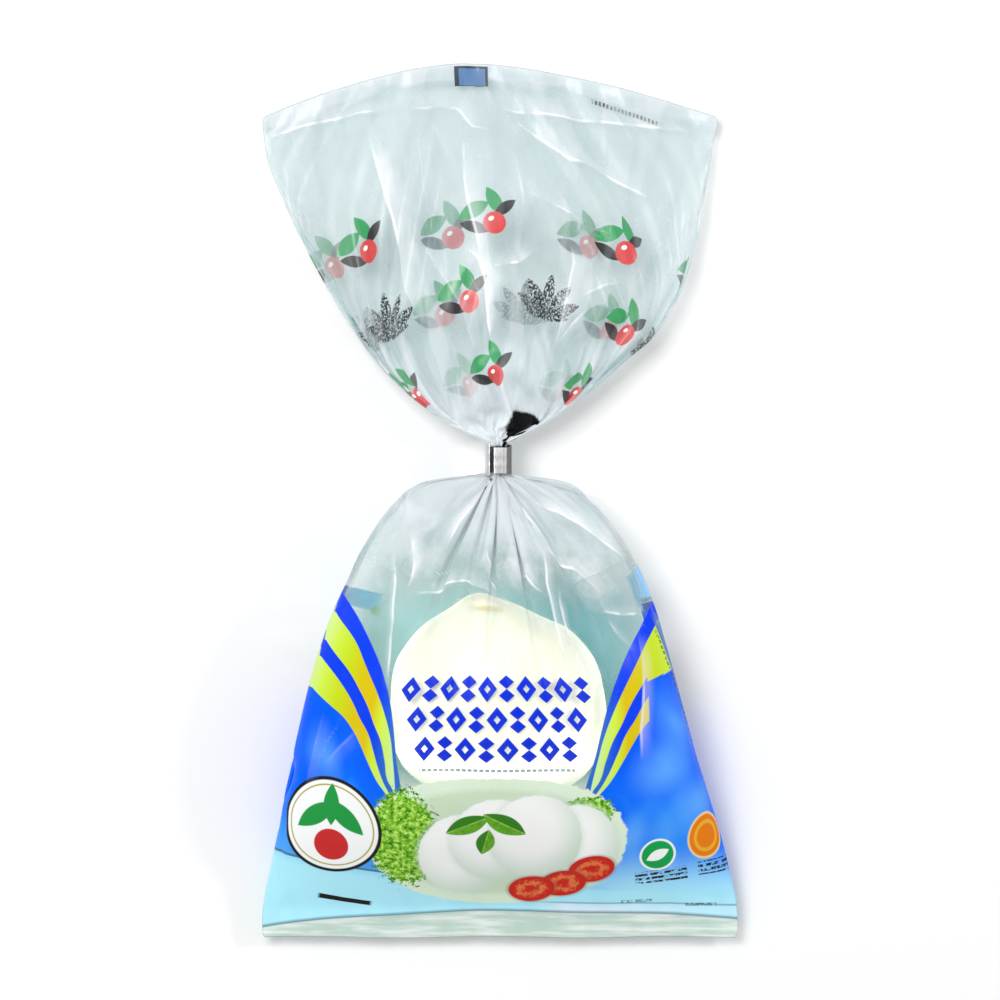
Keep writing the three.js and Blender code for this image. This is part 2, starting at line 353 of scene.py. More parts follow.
def pleat_depth(off, pleats):
    """How deep the pleats are round the girth, at one distance from the clip."""
    place, reach, weight, drift = pleats
    fade = np.clip((reach - off) / (0.45 * reach), 0, 1)
    fade = fade * fade * (3 - 2 * fade) * weight
    apart = np.arange(COLUMNS)[None, :] * ACROSS_STEP - (place + drift * off)[:, None]
    apart = (apart + GIRTH / 2) % GIRTH - GIRTH / 2
    return (fade[:, None] * np.exp(-(apart / (1.6 + 0.022 * off)) ** 2)).sum(0)


ACROSS = (COLUMNS / 4 - np.arange(COLUMNS)) * ACROSS_STEP
BACK = np.abs(ACROSS) > FLAT_WIDTH / 2
ACROSS = np.where(BACK, -FLAT_WIDTH - ACROSS, ACROSS)
SIDE = np.where(BACK, -1.0, 1.0)


def spread(loop, tuck):
    """The film's columns set along the loop, with the film within tuck of each side edge folded in."""
    closed = np.vstack([loop, loop[:1]])
    length = np.concatenate([[0], np.cumsum(np.linalg.norm(np.diff(closed, axis=0), axis=1))])
    half_way = length[len(loop) // 2]
    share = np.clip((FLAT_WIDTH / 2 - SIDE * ACROSS - tuck) / (FLAT_WIDTH - 2 * tuck), 0, 1)
    at = np.where(BACK, half_way + share * (length[-1] - half_way), share * half_way)
    set_out = np.stack([np.interp(at, length, closed[:, k]) for k in range(3)], 1)
    folded = np.maximum(tuck - FLAT_WIDTH / 2 + np.abs(ACROSS), 0)
    set_out[:, 0] -= np.sign(ACROSS) * folded * 0.98
    set_out[:, 2] += SIDE * 0.35 * np.minimum(folded, 1) * (np.abs(ACROSS) < FLAT_WIDTH / 2)
    return set_out, folded == 0


def girth_of(loop):
    return np.linalg.norm(np.roll(loop, -1, 0) - loop, axis=1).sum()


def row_envelope(row):
    """The smooth loop that one row of film would follow if it had no pleats."""
    turn = np.arange(360) / 360 * 2 * np.pi
    off, along = OFF_CLIP[row], ALONG[row]
    if off == 0:
        return np.stack([NECK[0] + NECK_HALF[0] * np.cos(turn),
                         np.full(360, clip_low[1] + along - BODY_FILM),
                         NECK[2] + NECK_HALF[1] * np.sin(turn)], 1), NECK_HALF[0]
    if along < BODY_FILM:
        lengths, start, way, reach, bow = BODY_SIDE, clip_low[1], -1, clip_low[1] - bag_low[1], 1.0
        middle = NECK[0] * math.exp(-off / 40)
        share = off / BODY_FILM
    else:
        share = off / FAN_FILM
        lengths, start, way, reach, bow = FAN_SIDE, clip_high[1], 1, bag_high[1] - clip_high[1], 1 + share
        middle = NECK[0] - 2.0 * share
    side = np.interp(off, lengths[0], lengths[1])
    half = np.interp(off, lengths[0], lengths[2])
    across = np.sign(np.cos(turn)) * np.abs(np.cos(turn)) ** 0.9
    x = middle + half * across * 0.995
    y = start + way * (side + (reach * share - side) * (1 - across ** 2) ** (bow / 2))
    top, under = height(TOP, x, y), height(UNDER, x, y)
    centre = (top + under) / 2
    swell = np.clip(np.abs(np.sin(turn)) / 0.18, 0, 1)
    z = centre + np.where(np.sin(turn) >= 0, top - centre, under - centre) * swell
    near = max(1 - off / 6, 0)
    z = z * (1 - near) + (NECK[2] + max(half * 0.85, NECK_HALF[1]) * np.sin(turn)) * near
    return np.stack([x, y, z], 1), half


def gathered_row(row):
    """One row of film, its envelope pleated inwards, and its girth. Finer pleats take the rest."""
    envelope, half = row_envelope(row)
    spare = PLEAT_SHARE * (GIRTH - girth_of(envelope))
    girth = girth_of(envelope) + max(spare, 0)
    tuck = min(max(TUCKED_SHARE * spare / 4, 0), 0.3 * half) if ALONG[row] > BODY_FILM + CLIP_LENGTH else 0
    loop, panel = spread(envelope, tuck)
    if spare <= 0:
        return loop, girth
    tangent = np.roll(loop, -1, 0) - np.roll(loop, 1, 0)
    tangent[:, 1] = 0
    tangent /= np.linalg.norm(tangent, axis=1, keepdims=True) + 1e-9
    inward = np.stack([-tangent[:, 2], np.zeros(COLUMNS), tangent[:, 0]], 1)
    pleats = BODY_PLEATS if ALONG[row] < BODY_FILM + CLIP_LENGTH / 2 else FAN_PLEATS
    depth = pleat_depth(OFF_CLIP[row], pleats)
    radius = np.hypot(loop[:, 0] - loop[:, 0].mean(), loop[:, 2] - loop[:, 2].mean())
    most = radius * 0.9 if OFF_CLIP[row] < 12 else np.inf
    depth *= panel

    def pleated(share):
        return loop + inward * np.minimum(share * depth, most)[:, None]

    low, high = 0.0, 3.0 * max(half, 8)
    for _ in range(30):
        share = (low + high) / 2
        low, high = (share, high) if girth_of(pleated(share)) < girth else (low, share)
    return pleated(min(share, 3 * half) if OFF_CLIP[row] < 12 else share), girth


def body_weld(along):
    """The bottom weld: both layers flat together, finely waved, on a straight edge."""
    y = bag_low[1] + along
    half = (np.interp(y, GRID_Y, RIGHT) - np.interp(y, GRID_Y, LEFT)) / 2
    x = np.clip(ACROSS / 76, -1, 1) * half * 0.998
    middle = (height(TOP, x * 0.97, y + 0 * x) + height(UNDER, x * 0.97, y + 0 * x)) / 2
    wave = 0.30 * np.sin(x * 0.31 + 1.0) + 0.22 * np.sin(x * 0.83 + along * 0.4) + 0.10 * np.sin(x * 2.1)
    return np.stack([x, y + 0.25 * np.sin(x * 0.11 + 2.0), middle + wave + SIDE * WELD_GAP / 2], 1)


def fan_weld(along):
    """The top weld: both layers together on the bowed top edge, with a few soft puckers."""
    share = ACROSS / 76
    below = FILM_LENGTH - along
    left, right = np.interp(widest_fan, GRID_Y, LEFT), np.interp(widest_fan, GRID_Y, RIGHT)
    bow = bag_high[1] - widest_fan
    x = (left + right) / 2 + (right - left) / 2 * share
    crown_to_side = np.where(x < TOP_EDGE_CROWN, TOP_EDGE_CROWN - left, right - TOP_EDGE_CROWN)
    off_crown = (x - TOP_EDGE_CROWN) / crown_to_side
    y = widest_fan + bow * (1 - np.abs(off_crown) ** 1.6) - below * 0.98
    middle = (height(TOP, x * 0.97, y - 1) + height(UNDER, x * 0.97, y - 1)) / 2
    wave = 0.9 * np.sin(x * 0.19 + 0.6) + 0.55 * np.sin(x * 0.47 + 2.2) + 0.15 * np.sin(x * 1.3 + along)
    return np.stack([x, y, np.maximum(middle + wave, 0.8) + SIDE * WELD_GAP / 2], 1)


def rest_places(film):
    """Where each point lies along its own line of film. Low down the lines shorten to the mould's length."""
    step = np.diff(ALONG)[:, None]
    lying = np.linalg.norm(np.diff(film, axis=0), axis=-1)
    low = np.clip((BODY_FILM - 40 - ALONG[1:, None]) / 30, 0, 1)
    step = step * (1 - low) + np.clip(lying, 0.9 * step, step) * low
    return np.concatenate([np.zeros((1, COLUMNS)), np.cumsum(step, axis=0)])


def relax(film, girths, steps):
    """Lets the film settle: it resists stretch and sharp bends, and is pushed out from inside."""
    rest_place = rest_places(film)
    rest_across = girths / COLUMNS
    held = (OFF_CLIP == 0) | (ALONG <= BODY_WELD) | (ALONG >= FILM_LENGTH - FAN_WELD)
    place_held = film[held].copy()
    body = ALONG < BODY_FILM
    press = np.where(body, BODY_PRESS, FAN_PRESS) * np.clip(OFF_CLIP / 20, 0.2, 1)
    push = press[:, None, None] * 0.0016
    sharpness = np.where(body, 12.0, 4.0)

    def draw_together(first, second, rest, stiffness, only_push=False):
        apart = second - first
        length = np.sqrt((apart * apart).sum(-1)) + 1e-9
        gap = length - rest
        if only_push:
            gap = np.minimum(gap, 0)
        return apart * (gap / length * stiffness * 0.5)[..., None]

    def across_links(step, stiffness, only_push=False):
        for first in range(2 * step):
            one = np.arange(first, COLUMNS, 2 * step)
            two = (one + step) % COLUMNS
            rest = step * rest_across[:, None]
            move = draw_together(film[:, one], film[:, two], rest, stiffness, only_push)
            film[:, one] += move
            film[:, two] -= move

    def along_links(step, stiffness, shift=0, only_push=False):
        for first in range(2 * step):
            one = np.arange(first, ROWS - step, 2 * step)
            rest = rest_place[one + step] - rest_place[one]
            if shift:
                rest = np.hypot(rest, (rest_across[one] + rest_across[one + 1])[:, None] / 2)
            second = np.roll(film[one + step], shift, 1)
            move = draw_together(film[one], second, rest, stiffness, only_push)
            film[one] += move
            film[one + step] -= np.roll(move, -shift, 1)

    def draw_out():
        """Draws each row's sides out to the bag's outline, as the air and brine inside do."""
        for way, outline in ((1, RIGHT), (-1, LEFT)):
            x = film[..., 0] * way
            far = x.argmax(1)
            most, middle = x.max(1), x.mean(1)
            reach = np.interp(film[np.arange(ROWS), far, 1], GRID_Y, outline) * way
            share = np.clip((x - middle[:, None]) / (most - middle)[:, None], 0, 1)
            film[..., 0] += way * ((reach - most) * DRAW_OUT)[:, None] * share ** sharpness[:, None]

    before = film.copy()
    for _ in range(steps):
        speed = (film - before) * 0.92
        before = film.copy()
        row_way = np.zeros_like(film)
        row_way[1:-1] = film[2:] - film[:-2]
        normal = np.cross(row_way, np.roll(film, -1, 1) - np.roll(film, 1, 1))
        film += speed + normal * push
        film[..., 2] -= 0.0008
        for _ in range(4):
            across_links(2, BEND_ACROSS, only_push=True)
            along_links(2, BEND_ALONG, only_push=True)
            along_links(1, 0.25, shift=1)
            along_links(1, 0.25, shift=-1)
            along_links(1, 0.9)
            across_links(1, 0.9)
            draw_out()
            x, y, z = film[..., 0], film[..., 1], film[..., 2]
            np.clip(x, np.interp(y, GRID_Y, LEFT), np.interp(y, GRID_Y, RIGHT), out=x)
            np.clip(z, np.maximum(height(UNDER, x, y), FLOOR_GAP), height(TOP, x, y), out=z)
            out = (film - BALL_MIDDLE) / (BALL_HALF + BALL_CLEAR)
            far = np.sqrt((out * out).sum(-1))
            inside = far < 1
            film[inside] = BALL_MIDDLE + out[inside] / far[inside][:, None] * (BALL_HALF + BALL_CLEAR)
            film[held] = place_held
    return film


BODY_PRESS, FAN_PRESS = 0.4, 0.08
DRAW_OUT = 0.4
BEND_ACROSS = 0.02
BEND_ALONG = 0.05
gathered = [gathered_row(row) for row in range(ROWS)]
film_rows = np.array([loop for loop, _ in gathered])
girths = np.array([girth for _, girth in gathered])
for row in range(ROWS):
    if ALONG[row] <= BODY_WELD:
        film_rows[row] = body_weld(ALONG[row])
    elif ALONG[row] >= FILM_LENGTH - FAN_WELD:
        film_rows[row] = fan_weld(ALONG[row])
film_rows = relax(film_rows, girths, 150)


def film_bend(film):
    """How sharply the film bends at each point, per millimetre, positive on a ridge."""
    row_way = np.zeros_like(film)
    row_way[1:-1] = film[2:] - film[:-2]
    row_way[0], row_way[-1] = film[1] - film[0], film[-1] - film[-2]
    normal = np.cross(row_way, np.roll(film, -1, 1) - np.roll(film, 1, 1))
    normal /= np.linalg.norm(normal, axis=-1, keepdims=True) + 1e-9
    bend = (np.roll(film, -1, 1) + np.roll(film, 1, 1) - 2 * film) / ACROSS_STEP ** 2
    return -(bend * normal).sum(-1)


bend = film_bend(film_rows)
faces, corners = [], []
for row in range(ROWS - 1):
    for column in range(COLUMNS):
        after = (column + 1) % COLUMNS
        faces.append((row * COLUMNS + column, (row + 1) * COLUMNS + column,
                      (row + 1) * COLUMNS + after, row * COLUMNS + after))
        low, high = ALONG[row] / FILM_LENGTH, ALONG[row + 1] / FILM_LENGTH
        near, far = column / COLUMNS, (column + 1) / COLUMNS
        corners += [(near, low), (near, high), (far, high), (far, low)]
for row, way in ((0, 1), (ROWS - 1, -1)):
    for column in range(COLUMNS // 2):
        ring = [column, column + 1, (COLUMNS - column - 1) % COLUMNS, (COLUMNS - column) % COLUMNS][::way]
        ring = list(dict.fromkeys(ring))
        faces.append(tuple(row * COLUMNS + point for point in ring))
        corners += [(point / COLUMNS, ALONG[row] / FILM_LENGTH) for point in ring]
mesh = bpy.data.meshes.new("bag_film")
mesh.from_pydata((film_rows.reshape(-1, 3) / MM).tolist(), [], faces)
unrolled = mesh.uv_layers.new(name="OFBake")
unrolled.data.foreach_set("uv", np.array(corners, np.float32).ravel())
place = np.zeros((ROWS, COLUMNS, 3), np.float32)
place[..., 0] = ACROSS
place[..., 1] = ALONG[:, None]
place[..., 2] = BACK
mesh.attributes.new("film", "FLOAT_VECTOR", "POINT").data.foreach_set("vector", place.ravel())
mesh.attributes.new("bend", "FLOAT", "POINT").data.foreach_set("value", bend.astype(np.float32).ravel())
film = bpy.data.objects.new("bag_film", mesh)
bpy.context.scene.collection.objects.link(film)
apply_modifier(film, "SUBSURF", levels=1, render_levels=1)
settle(film)

# Painted highlights along the film's sharpest creases over its flat front, with some whitening of the
# folded film, in millimetres: how far the soft side, left of the course, fades out, its strength and its
# course. Those in one group keep clear of each other.
CREASE_HIGHLIGHTS = [
    [(2.5, 0.9, [(-39, 90), (-41, 101), (-44, 111), (-50, 123), (-55, 129), (-59, 134)]),
     (5.0, 1.0, [(5, 142), (8, 138), (21, 134), (23, 129), (26, 125)]),
     (8.0, 0.9, [(46, 156), (53, 150), (57, 143), (60, 134), (64, 126)]),
     (7.0, 1.0, [(1, 129), (-7, 137), (-11, 140), (-12, 144)]),
     (3.0, 0.8, [(32, 128), (30, 122), (29, 114), (30, 104), (32, 92)]),
     (5.0, 0.9, [(42, 116), (47, 114), (52, 111.5), (57, 110), (62, 108)]),
     (12.0, 1.0, [(-41, 293), (-39, 279), (-37, 264), (-36, 250), (-35, 240), (-31, 230)]),
     (7.0, 0.9, [(-10, 286), (-10, 272), (-9, 264), (-6, 252), (-5, 245)]),
     (9.0, 0.7, [(7, 294), (14, 290), (26, 283), (41, 282), (58, 278)]),
     (4.0, 0.5, [(36, 235), (26, 221)]),
     (5.0, 1.0, [(55, 104), (53, 94), (50, 84), (47, 74), (46, 64)])],
    [(6.0, 0.9, [(-42, 122), (-37, 124), (-28, 129), (-24, 130), (-18, 132), (-12, 130), (-1, 129)]),
     (4.0, 0.8, [(32, 140), (30, 134), (28, 129), (27, 122), (26, 116), (25, 102)]),
     (3.0, 0.8, [(45, 113), (47, 107), (51, 99)]),
     (7.0, 0.5, [(-39, 137), (-41, 149), (-40, 162)]),
     (6.0, 0.8, [(-11, 250), (-6, 246), (-4, 239), (-3, 225), (-1, 215)]),
     (7.0, 0.5, [(10, 269), (20, 265), (30, 263), (27, 256)]),
     (7.0, 0.7, [(32, 238), (40, 244), (50, 249)]),
     (7.0, 0.6, [(1, 297), (21, 297), (42, 300), (59, 302), (75, 306)]),
     (7.0, 0.6, [(-75, 304), (-66, 304), (-48, 302), (-31, 300)]),
     (5.0, 0.5, [(-19, 292), (-17, 285), (-14, 278)])],
    [(5.0, 0.8, [(33, 141), (37, 135), (42, 131), (45, 125), (48, 120)]),
     (4.0, 1.0, [(-59, 141), (-53, 137), (-47, 131), (-45, 127), (-44, 122)]),
     (7.0, 0.5, [(42, 165), (35, 154), (36, 146)]),
     (4.0, 0.7, [(-60, 123), (-56, 121), (-52, 119)]),
     (5.0, 0.6, [(-27, 254), (-18, 240), (-13, 230), (-9, 216)]),
     (6.0, 0.9, [(-2, 243), (8, 245), (16, 251)]),
     (6.0, 0.5, [(25, 257), (28, 248), (27, 236), (26, 219)]),
     (7.0, 0.6, [(-28, 299), (-18, 298), (-11, 296), (-7, 290), (-1, 289)]),
     (5.0, 0.5, [(10, 262), (6, 284)]),
     (5.0, 0.22, [(-46, 75), (-53, 66), (-57, 60)]),
     (5.0, 0.22, [(-60, 76), (-61, 67), (-62, 58), (-63, 48)])]]
mesh = film.data
flat = np.empty(len(mesh.vertices) * 3, np.float32)
mesh.attributes["film"].data.foreach_get("vector", flat)
flat = flat.reshape(-1, 3)
for name, group in zip(("crease_a", "crease_b", "crease_c"), CREASE_HIGHLIGHTS):
    off, strength, fade = np.full(len(flat), 99.0), np.zeros(len(flat)), np.ones(len(flat))
    for soft, strong, course in group:
        course = np.array(course, float)
        lengths = np.linalg.norm(np.diff(course, axis=0), axis=1)
        before = np.concatenate([[0], np.cumsum(lengths)])
        for number, (start, end) in enumerate(zip(course, course[1:])):
            way, apart = (end - start) / lengths[number], flat[:, :2] - start
            along = apart @ way
            inside = np.clip(along, 0, lengths[number])
            far = np.linalg.norm(apart - inside[:, None] * way, axis=1)
            near = np.flatnonzero(far < np.abs(off))
            side = np.sign(way[0] * apart[near, 1] - way[1] * apart[near, 0])
            off[near] = far[near] * side
            to_end = np.minimum(before[number] + inside, before[-1] - before[number] - inside)[near]
            ends = np.clip(to_end / min(9, before[-1] * 0.35), 0, 1)
            strength[near] = strong * ends * np.clip(2 - far[near] / (soft + 1), 0, 1) * (flat[near, 2] < 0.5)
            fade[near] = soft
    stored = np.stack([np.clip(off, -15, 15), strength, fade], 1).astype(np.float32)
    mesh.attributes.new(name, "FLOAT_VECTOR", "POINT").data.foreach_set("vector", stored.ravel())

FILM_TEAL = (0.40, 0.58, 0.60, 1)
FILM_HAZE_AND_SHEEN = (0.77, 0.795, 0.825, 1)
SHOULDER_HAZE_AND_SHEEN = (0.61, 0.635, 0.66, 1)
# The near-white of the painted highlights along the creases.
CREASE_HIGHLIGHT = (0.95, 0.96, 1.0, 1)
WATERLINE = clip_low[1] - 24.0
PRINT_COVER = 0.985
NECK_HAZE = 0.5
NECK_SHADE = (0.10, 0.10, 0.11)
# A faint glow of the film, stronger near the neck: painted light for the light that passes through it.
FILM_GLOW, NECK_GLOW = 0.10, 0.14


class FilmFinish(Finish):
    """Clear film: haze and painted highlights on ridges and creases, painted shade in grooves, and print in
    layers.
    """

    def __init__(self, name, haze, streaks, ior=1.5, cloudy=0.12, milk_tone=FILM_HAZE_AND_SHEEN):
        super().__init__(name, specular_ior_level=0.45, ior=ior)
        self.across, self.along, back = self.split(self.node("Attribute", attribute_name="film", output=1))
        self.front = self.maths("LESS_THAN", back, 0.5)
        self.flat = self.node("CombineXYZ", self.across, self.along)
        off_clip = self.maths("ABSOLUTE", self.maths("SUBTRACT", self.along, BODY_FILM + CLIP_LENGTH / 2))
        self.off_clip = off_clip
        pleats = self.drawn_noise(0.5, 0.022, 2, 0.6)
        line = self.ramp(self.maths("ABSOLUTE", self.maths("SUBTRACT", pleats, 0.5)), 0.0, 0.05, 1.0, 0.0)
        line = self.maths("MULTIPLY", line, self.ramp(off_clip, 12, 55, streaks, streaks * 0.1))
        clouds = self.drawn_noise(0.10, 0.035, 2, 0.5)
        lit = self.ramp(clouds, 0.38, 0.56, 0.45, 1.0)
        clouds = self.maths("MULTIPLY", self.ramp(clouds, 0.40, 0.62),
                            self.ramp(off_clip, 40, 110, 0.6, cloudy))
        ridge = self.node("Attribute", attribute_name="bend", output=2)
        # Ridges, fine streaks near the clip and soft clouds turn the film whiter and less clear: partly haze in
        # the film, partly painted highlights and sheen.
        haze_and_sheen = self.maths("MULTIPLY_ADD", self.ramp(ridge, 0.10, 0.7), 0.4, self.maths("ADD", line, clouds))
        crease_highlight = None
        for name in ("crease_a", "crease_b", "crease_c"):
            off, strength, fade = self.split(self.node("Attribute", attribute_name=name, output=1))
            # Each crease gets a white line, broken by the clouds, with a soft fade on one side: painted highlight,
            # with some whitening of the folded film.
            core = self.maths("MULTIPLY", self.ramp(self.maths("ABSOLUTE", off), 0.15, 0.85, 1.0, 0.0), lit)
            soft = self.ramp(self.maths("DIVIDE", off, fade), 0.0, 1.0, 0.42, 0.0)
            soft = self.maths("MULTIPLY", soft, self.maths("GREATER_THAN", off, 0))
            shown = self.maths("MULTIPLY", self.maths("MAXIMUM", core, soft), strength)
            crease_highlight = shown if crease_highlight is None else self.maths("MAXIMUM", crease_highlight, shown)
        self.crease_highlight = crease_highlight
        self.haze_and_sheen = self.maths("ADD", haze_and_sheen, crease_highlight, clamp=True)
        # Grooves turn a little more opaque and teal: painted shade.
        groove_shade = self.ramp(ridge, -0.60, -0.10, 1.0, 0.0)
        edge = self.node("LayerWeight", 0.35, output=1)
        _, y, _ = self.split(self.node("TexCoord", output=3))
        clarity = self.ramp(y, (WATERLINE - 12) / MM, (WATERLINE + 8) / MM, 0.35, 1.0)
        solid = self.maths("ADD", self.ramp(off_clip, 0, 70, haze + NECK_HAZE, haze),
                           self.maths("MULTIPLY", haze_and_sheen, 0.35))
        solid = self.maths("MULTIPLY", solid, clarity)
        solid = self.maths("MULTIPLY_ADD", crease_highlight, 0.6, solid)
        solid = self.maths("MULTIPLY_ADD", groove_shade, 0.05, solid)
        self.solid = self.maths("MULTIPLY_ADD", edge, 0.30, solid, clamp=True)
        whitening = self.maths("MAXIMUM", self.haze_and_sheen, self.ramp(off_clip, 8, 70, 0.85, 0.0))
        self.colour = self.mix(whitening, FILM_TEAL, milk_tone)
        self.colour = self.mix(crease_highlight, self.colour, CREASE_HIGHLIGHT)
        in_clip = self.within(off_clip, 1.5, CLIP_LENGTH / 2 - 0.6)
        self.colour = self.mix(in_clip, self.colour, (*NECK_SHADE, 1))
        self.cover = None
        self.set(roughness=self.ramp(off_clip, 20, 75, 0.45, 0.22))
        self.bump(pleats, 0.0004, 0.25)

    def noise(self, place, scale, detail=2.0, roughness=0.5):
        return self.node("TexNoise", place, None, scale, detail, roughness, noise_dimensions="2D")

    def drawn_noise(self, across, along, detail, roughness):
        """Noise over the flat film, with a scale of its own each way."""
        place = self.node("VectorMath", self.flat, (across, along, 1), operation="MULTIPLY")
        return self.noise(place, 1, detail, roughness)

    def split(self, vector):
        node = self.tree.nodes.new("ShaderNodeSeparateXYZ")
        self.feed(node.inputs[0], vector)
        return node.outputs

    def lay(self, centre, half, turn=0.0):
        """The place on the film as seen from a motif's own middle, in units of its half size."""
        return self.node("Mapping", self.flat, (*centre, 0), (0, 0, math.radians(turn)), (*half, 1),
                         vector_type="TEXTURE")

    def oval(self, centre, half, turn=0.0):
        """Distance from the middle of an oval, 1 at its rim."""
        return self.node("VectorMath", self.lay(centre, half, turn), operation="LENGTH", output=1)

    def leaf(self, centre, half, turn=0.0):
        """Distance from the middle rib of a pointed leaf, 1 at its rim."""
        x, y, _ = self.split(self.lay(centre, half, turn))
        return self.maths("MULTIPLY_ADD", x, x, self.maths("ABSOLUTE", y))

    def block(self, centre, half, turn=0.0):
        """Distance from the middle of an upright box, 1 at its rim."""
        spread_out = self.node("VectorMath", self.lay(centre, half, turn), operation="ABSOLUTE")
        x, y, _ = self.split(spread_out)
        return self.maths("MAXIMUM", x, y)

    def within(self, distance, crisp=20.0, rim=1.0):
        """1 inside the rim and 0 outside of it."""
        return self.maths("MULTIPLY_ADD", distance, -crisp, crisp * rim + 0.5, clamp=True)

    def between(self, value, low, high):
        """How far value is on the way from low, 0, to high, 1."""
        return self.maths("MULTIPLY_ADD", value, 1 / (high - low), -low / (high - low))

    def curve(self, value, points):
        """A smooth line through (value, result) points."""
        low, high = points[0][0], points[-1][0]
        top = max(result for _, result in points)
        node = self.tree.nodes.new("ShaderNodeFloatCurve")
        node.inputs["Factor"].default_value = 1.0
        self.feed(node.inputs["Value"], self.between(value, low, high))
        line = node.mapping.curves[0]
        line.points[0].location = (0, points[0][1] / top)
        line.points[1].location = (1, points[-1][1] / top)
        for at, result in points[1:-1]:
            line.points.new((at - low) / (high - low), result / top)
        node.mapping.update()
        return self.maths("MULTIPLY", node.outputs[0], top)

    def shades(self, value, stops):
        """Colours that run into each other along value, given as (value, colour) stops."""
        low, high = stops[0][0], stops[-1][0]
        node = self.tree.nodes.new("ShaderNodeValToRGB")
        self.feed(node.inputs[0], self.between(value, low, high))
        ramp = node.color_ramp
        ramp.elements[0].color = (*stops[0][1], 1)
        ramp.elements[1].color = (*stops[-1][1], 1)
        for at, colour in stops[1:-1]:
            ramp.elements.new((at - low) / (high - low)).color = (*colour, 1)
        return node.outputs[0]

    def cloud_over(self, places):
        """Milky places on the front, each given by its middle, half size and strength."""
        cloudy = self.noise(self.flat, 0.16, 3, 0.55)
        for place, half, strength in places:
            patch = self.maths("MULTIPLY_ADD", cloudy, 1.1, self.oval(place, half))
            patch = self.maths("MULTIPLY", self.ramp(patch, 0.7, 1.8, strength, 0.0), self.front)
            self.solid = self.maths("MULTIPLY_ADD", patch, 0.7, self.solid, clamp=True)
            self.colour = self.mix(patch, self.colour, SHOULDER_HAZE_AND_SHEEN)

    def paint(self, mask, colour, covers=True):
        """Lays one colour of print over the film where mask is 1."""
        if not isinstance(colour, bpy.types.NodeSocket):
            colour = (*colour, 1)
        self.colour = self.mix(mask, self.colour, colour)
        if covers:
            self.cover = mask if self.cover is None else self.maths("MAXIMUM", self.cover, mask)

    def wash(self, share):
        """Closes the layers: haze and painted highlights pale the print, and print hides what lies behind."""
        solid = self.solid
        if self.cover is not None:
            print_sheen = self.maths("MULTIPLY_ADD", self.crease_highlight, 0.7, self.maths("MULTIPLY", self.haze_and_sheen, share))
            print_sheen = self.maths("MULTIPLY", print_sheen, self.cover, clamp=True)
            self.colour = self.mix(print_sheen, self.colour, FILM_HAZE_AND_SHEEN)
            rest = self.maths("SUBTRACT", PRINT_COVER, solid)
            solid = self.maths("MULTIPLY_ADD", self.cover, rest, solid, clamp=True)
        self.set(base_color=self.colour, alpha=solid)
        return self.material


# The print: blue side panels behind curved yellow and blue bands, which frame a clear window.
INK_BLUE = (0.001, 0.028, 0.66)
BAND_BLUE = (0.003, 0.048, 0.84)
BAND_BLUE_LOW = (0.03, 0.15, 0.60)
PANEL = [(-3, (0.44, 0.86, 1.0)), (-0.5, (0.33, 0.76, 1.0)), (0.5, (0.085, 0.38, 0.95)),
         (14, (0.030, 0.27, 0.98)), (24, (0.003, 0.150, 0.98)), (44, (0.001, 0.110, 0.96))]
YELLOW = [(30, (0.62, 0.88, 0.55)), (35, (0.60, 0.86, 0.20)), (39, (0.62, 0.84, 0.05)),
          (43, (0.70, 0.52, 0.004)), (49, (0.68, 0.54, 0.003)), (56, (0.56, 0.70, 0.012)),
          (63, (0.60, 0.82, 0.06)), (72, (0.66, 0.88, 0.35))]
PANEL_LIGHT = (0.13, 0.43, 1.0)
WINDOW_FOOT = 53.0
BAND_EDGES = [
    [(40, 27.0), (57, 28.8), (67, 31.4), (79, 34.6), (86.4, 37.5), (92.8, 41.3), (98.6, 46.2), (106, 55.5),
     (110, 62.0), (114, 71.0), (118, 80.0), (122, 90.0)],
    [(40, 29.0), (57, 30.7), (67, 32.7), (75, 35.0), (81.6, 38.3), (87.5, 42.4), (92.2, 46.6), (96.5, 51.0),
     (101.5, 57.0), (106.6, 67.5), (111, 78.0), (116, 90.0)],
    [(40, 28.0), (56.7, 31.4), (60, 33.6), (66.3, 35.4), (72.6, 37.9), (77.4, 41.2), (82.7, 44.8),
     (87.5, 49.6), (91.7, 55.3), (95, 61.7), (99, 70.5), (103, 80.0), (107, 90.0)],
    [(40, 28.0), (54.6, 32.1), (58.8, 34.8), (63.1, 37.1), (68.4, 39.6), (73.7, 42.4), (77.9, 46.2),
     (82.2, 50.0), (86.4, 55.4), (90.1, 61.8), (94, 71.0), (98, 80.0), (102, 90.0)],
    [(40, 28.0), (54.1, 32.9), (58.8, 37.0), (65.2, 41.4), (70, 44.7), (73.2, 47.4), (76.9, 52.2), (79, 57.4),
     (81.1, 62.9), (84, 71.0), (87.5, 80.0), (91, 90.0)]]
PANEL_LIGHTS = [((54, 60), (10, 8)), ((60, 75), (7, 9)), ((64, 46), (7, 7)), ((40, 38), (8, 6)),
                ((-58, 62), (5, 9))]
FOOT_PAINTED_LIGHT = (0.62, 0.72, 0.56)
SEAM_BLUE = (0.09, 0.19, 0.50)


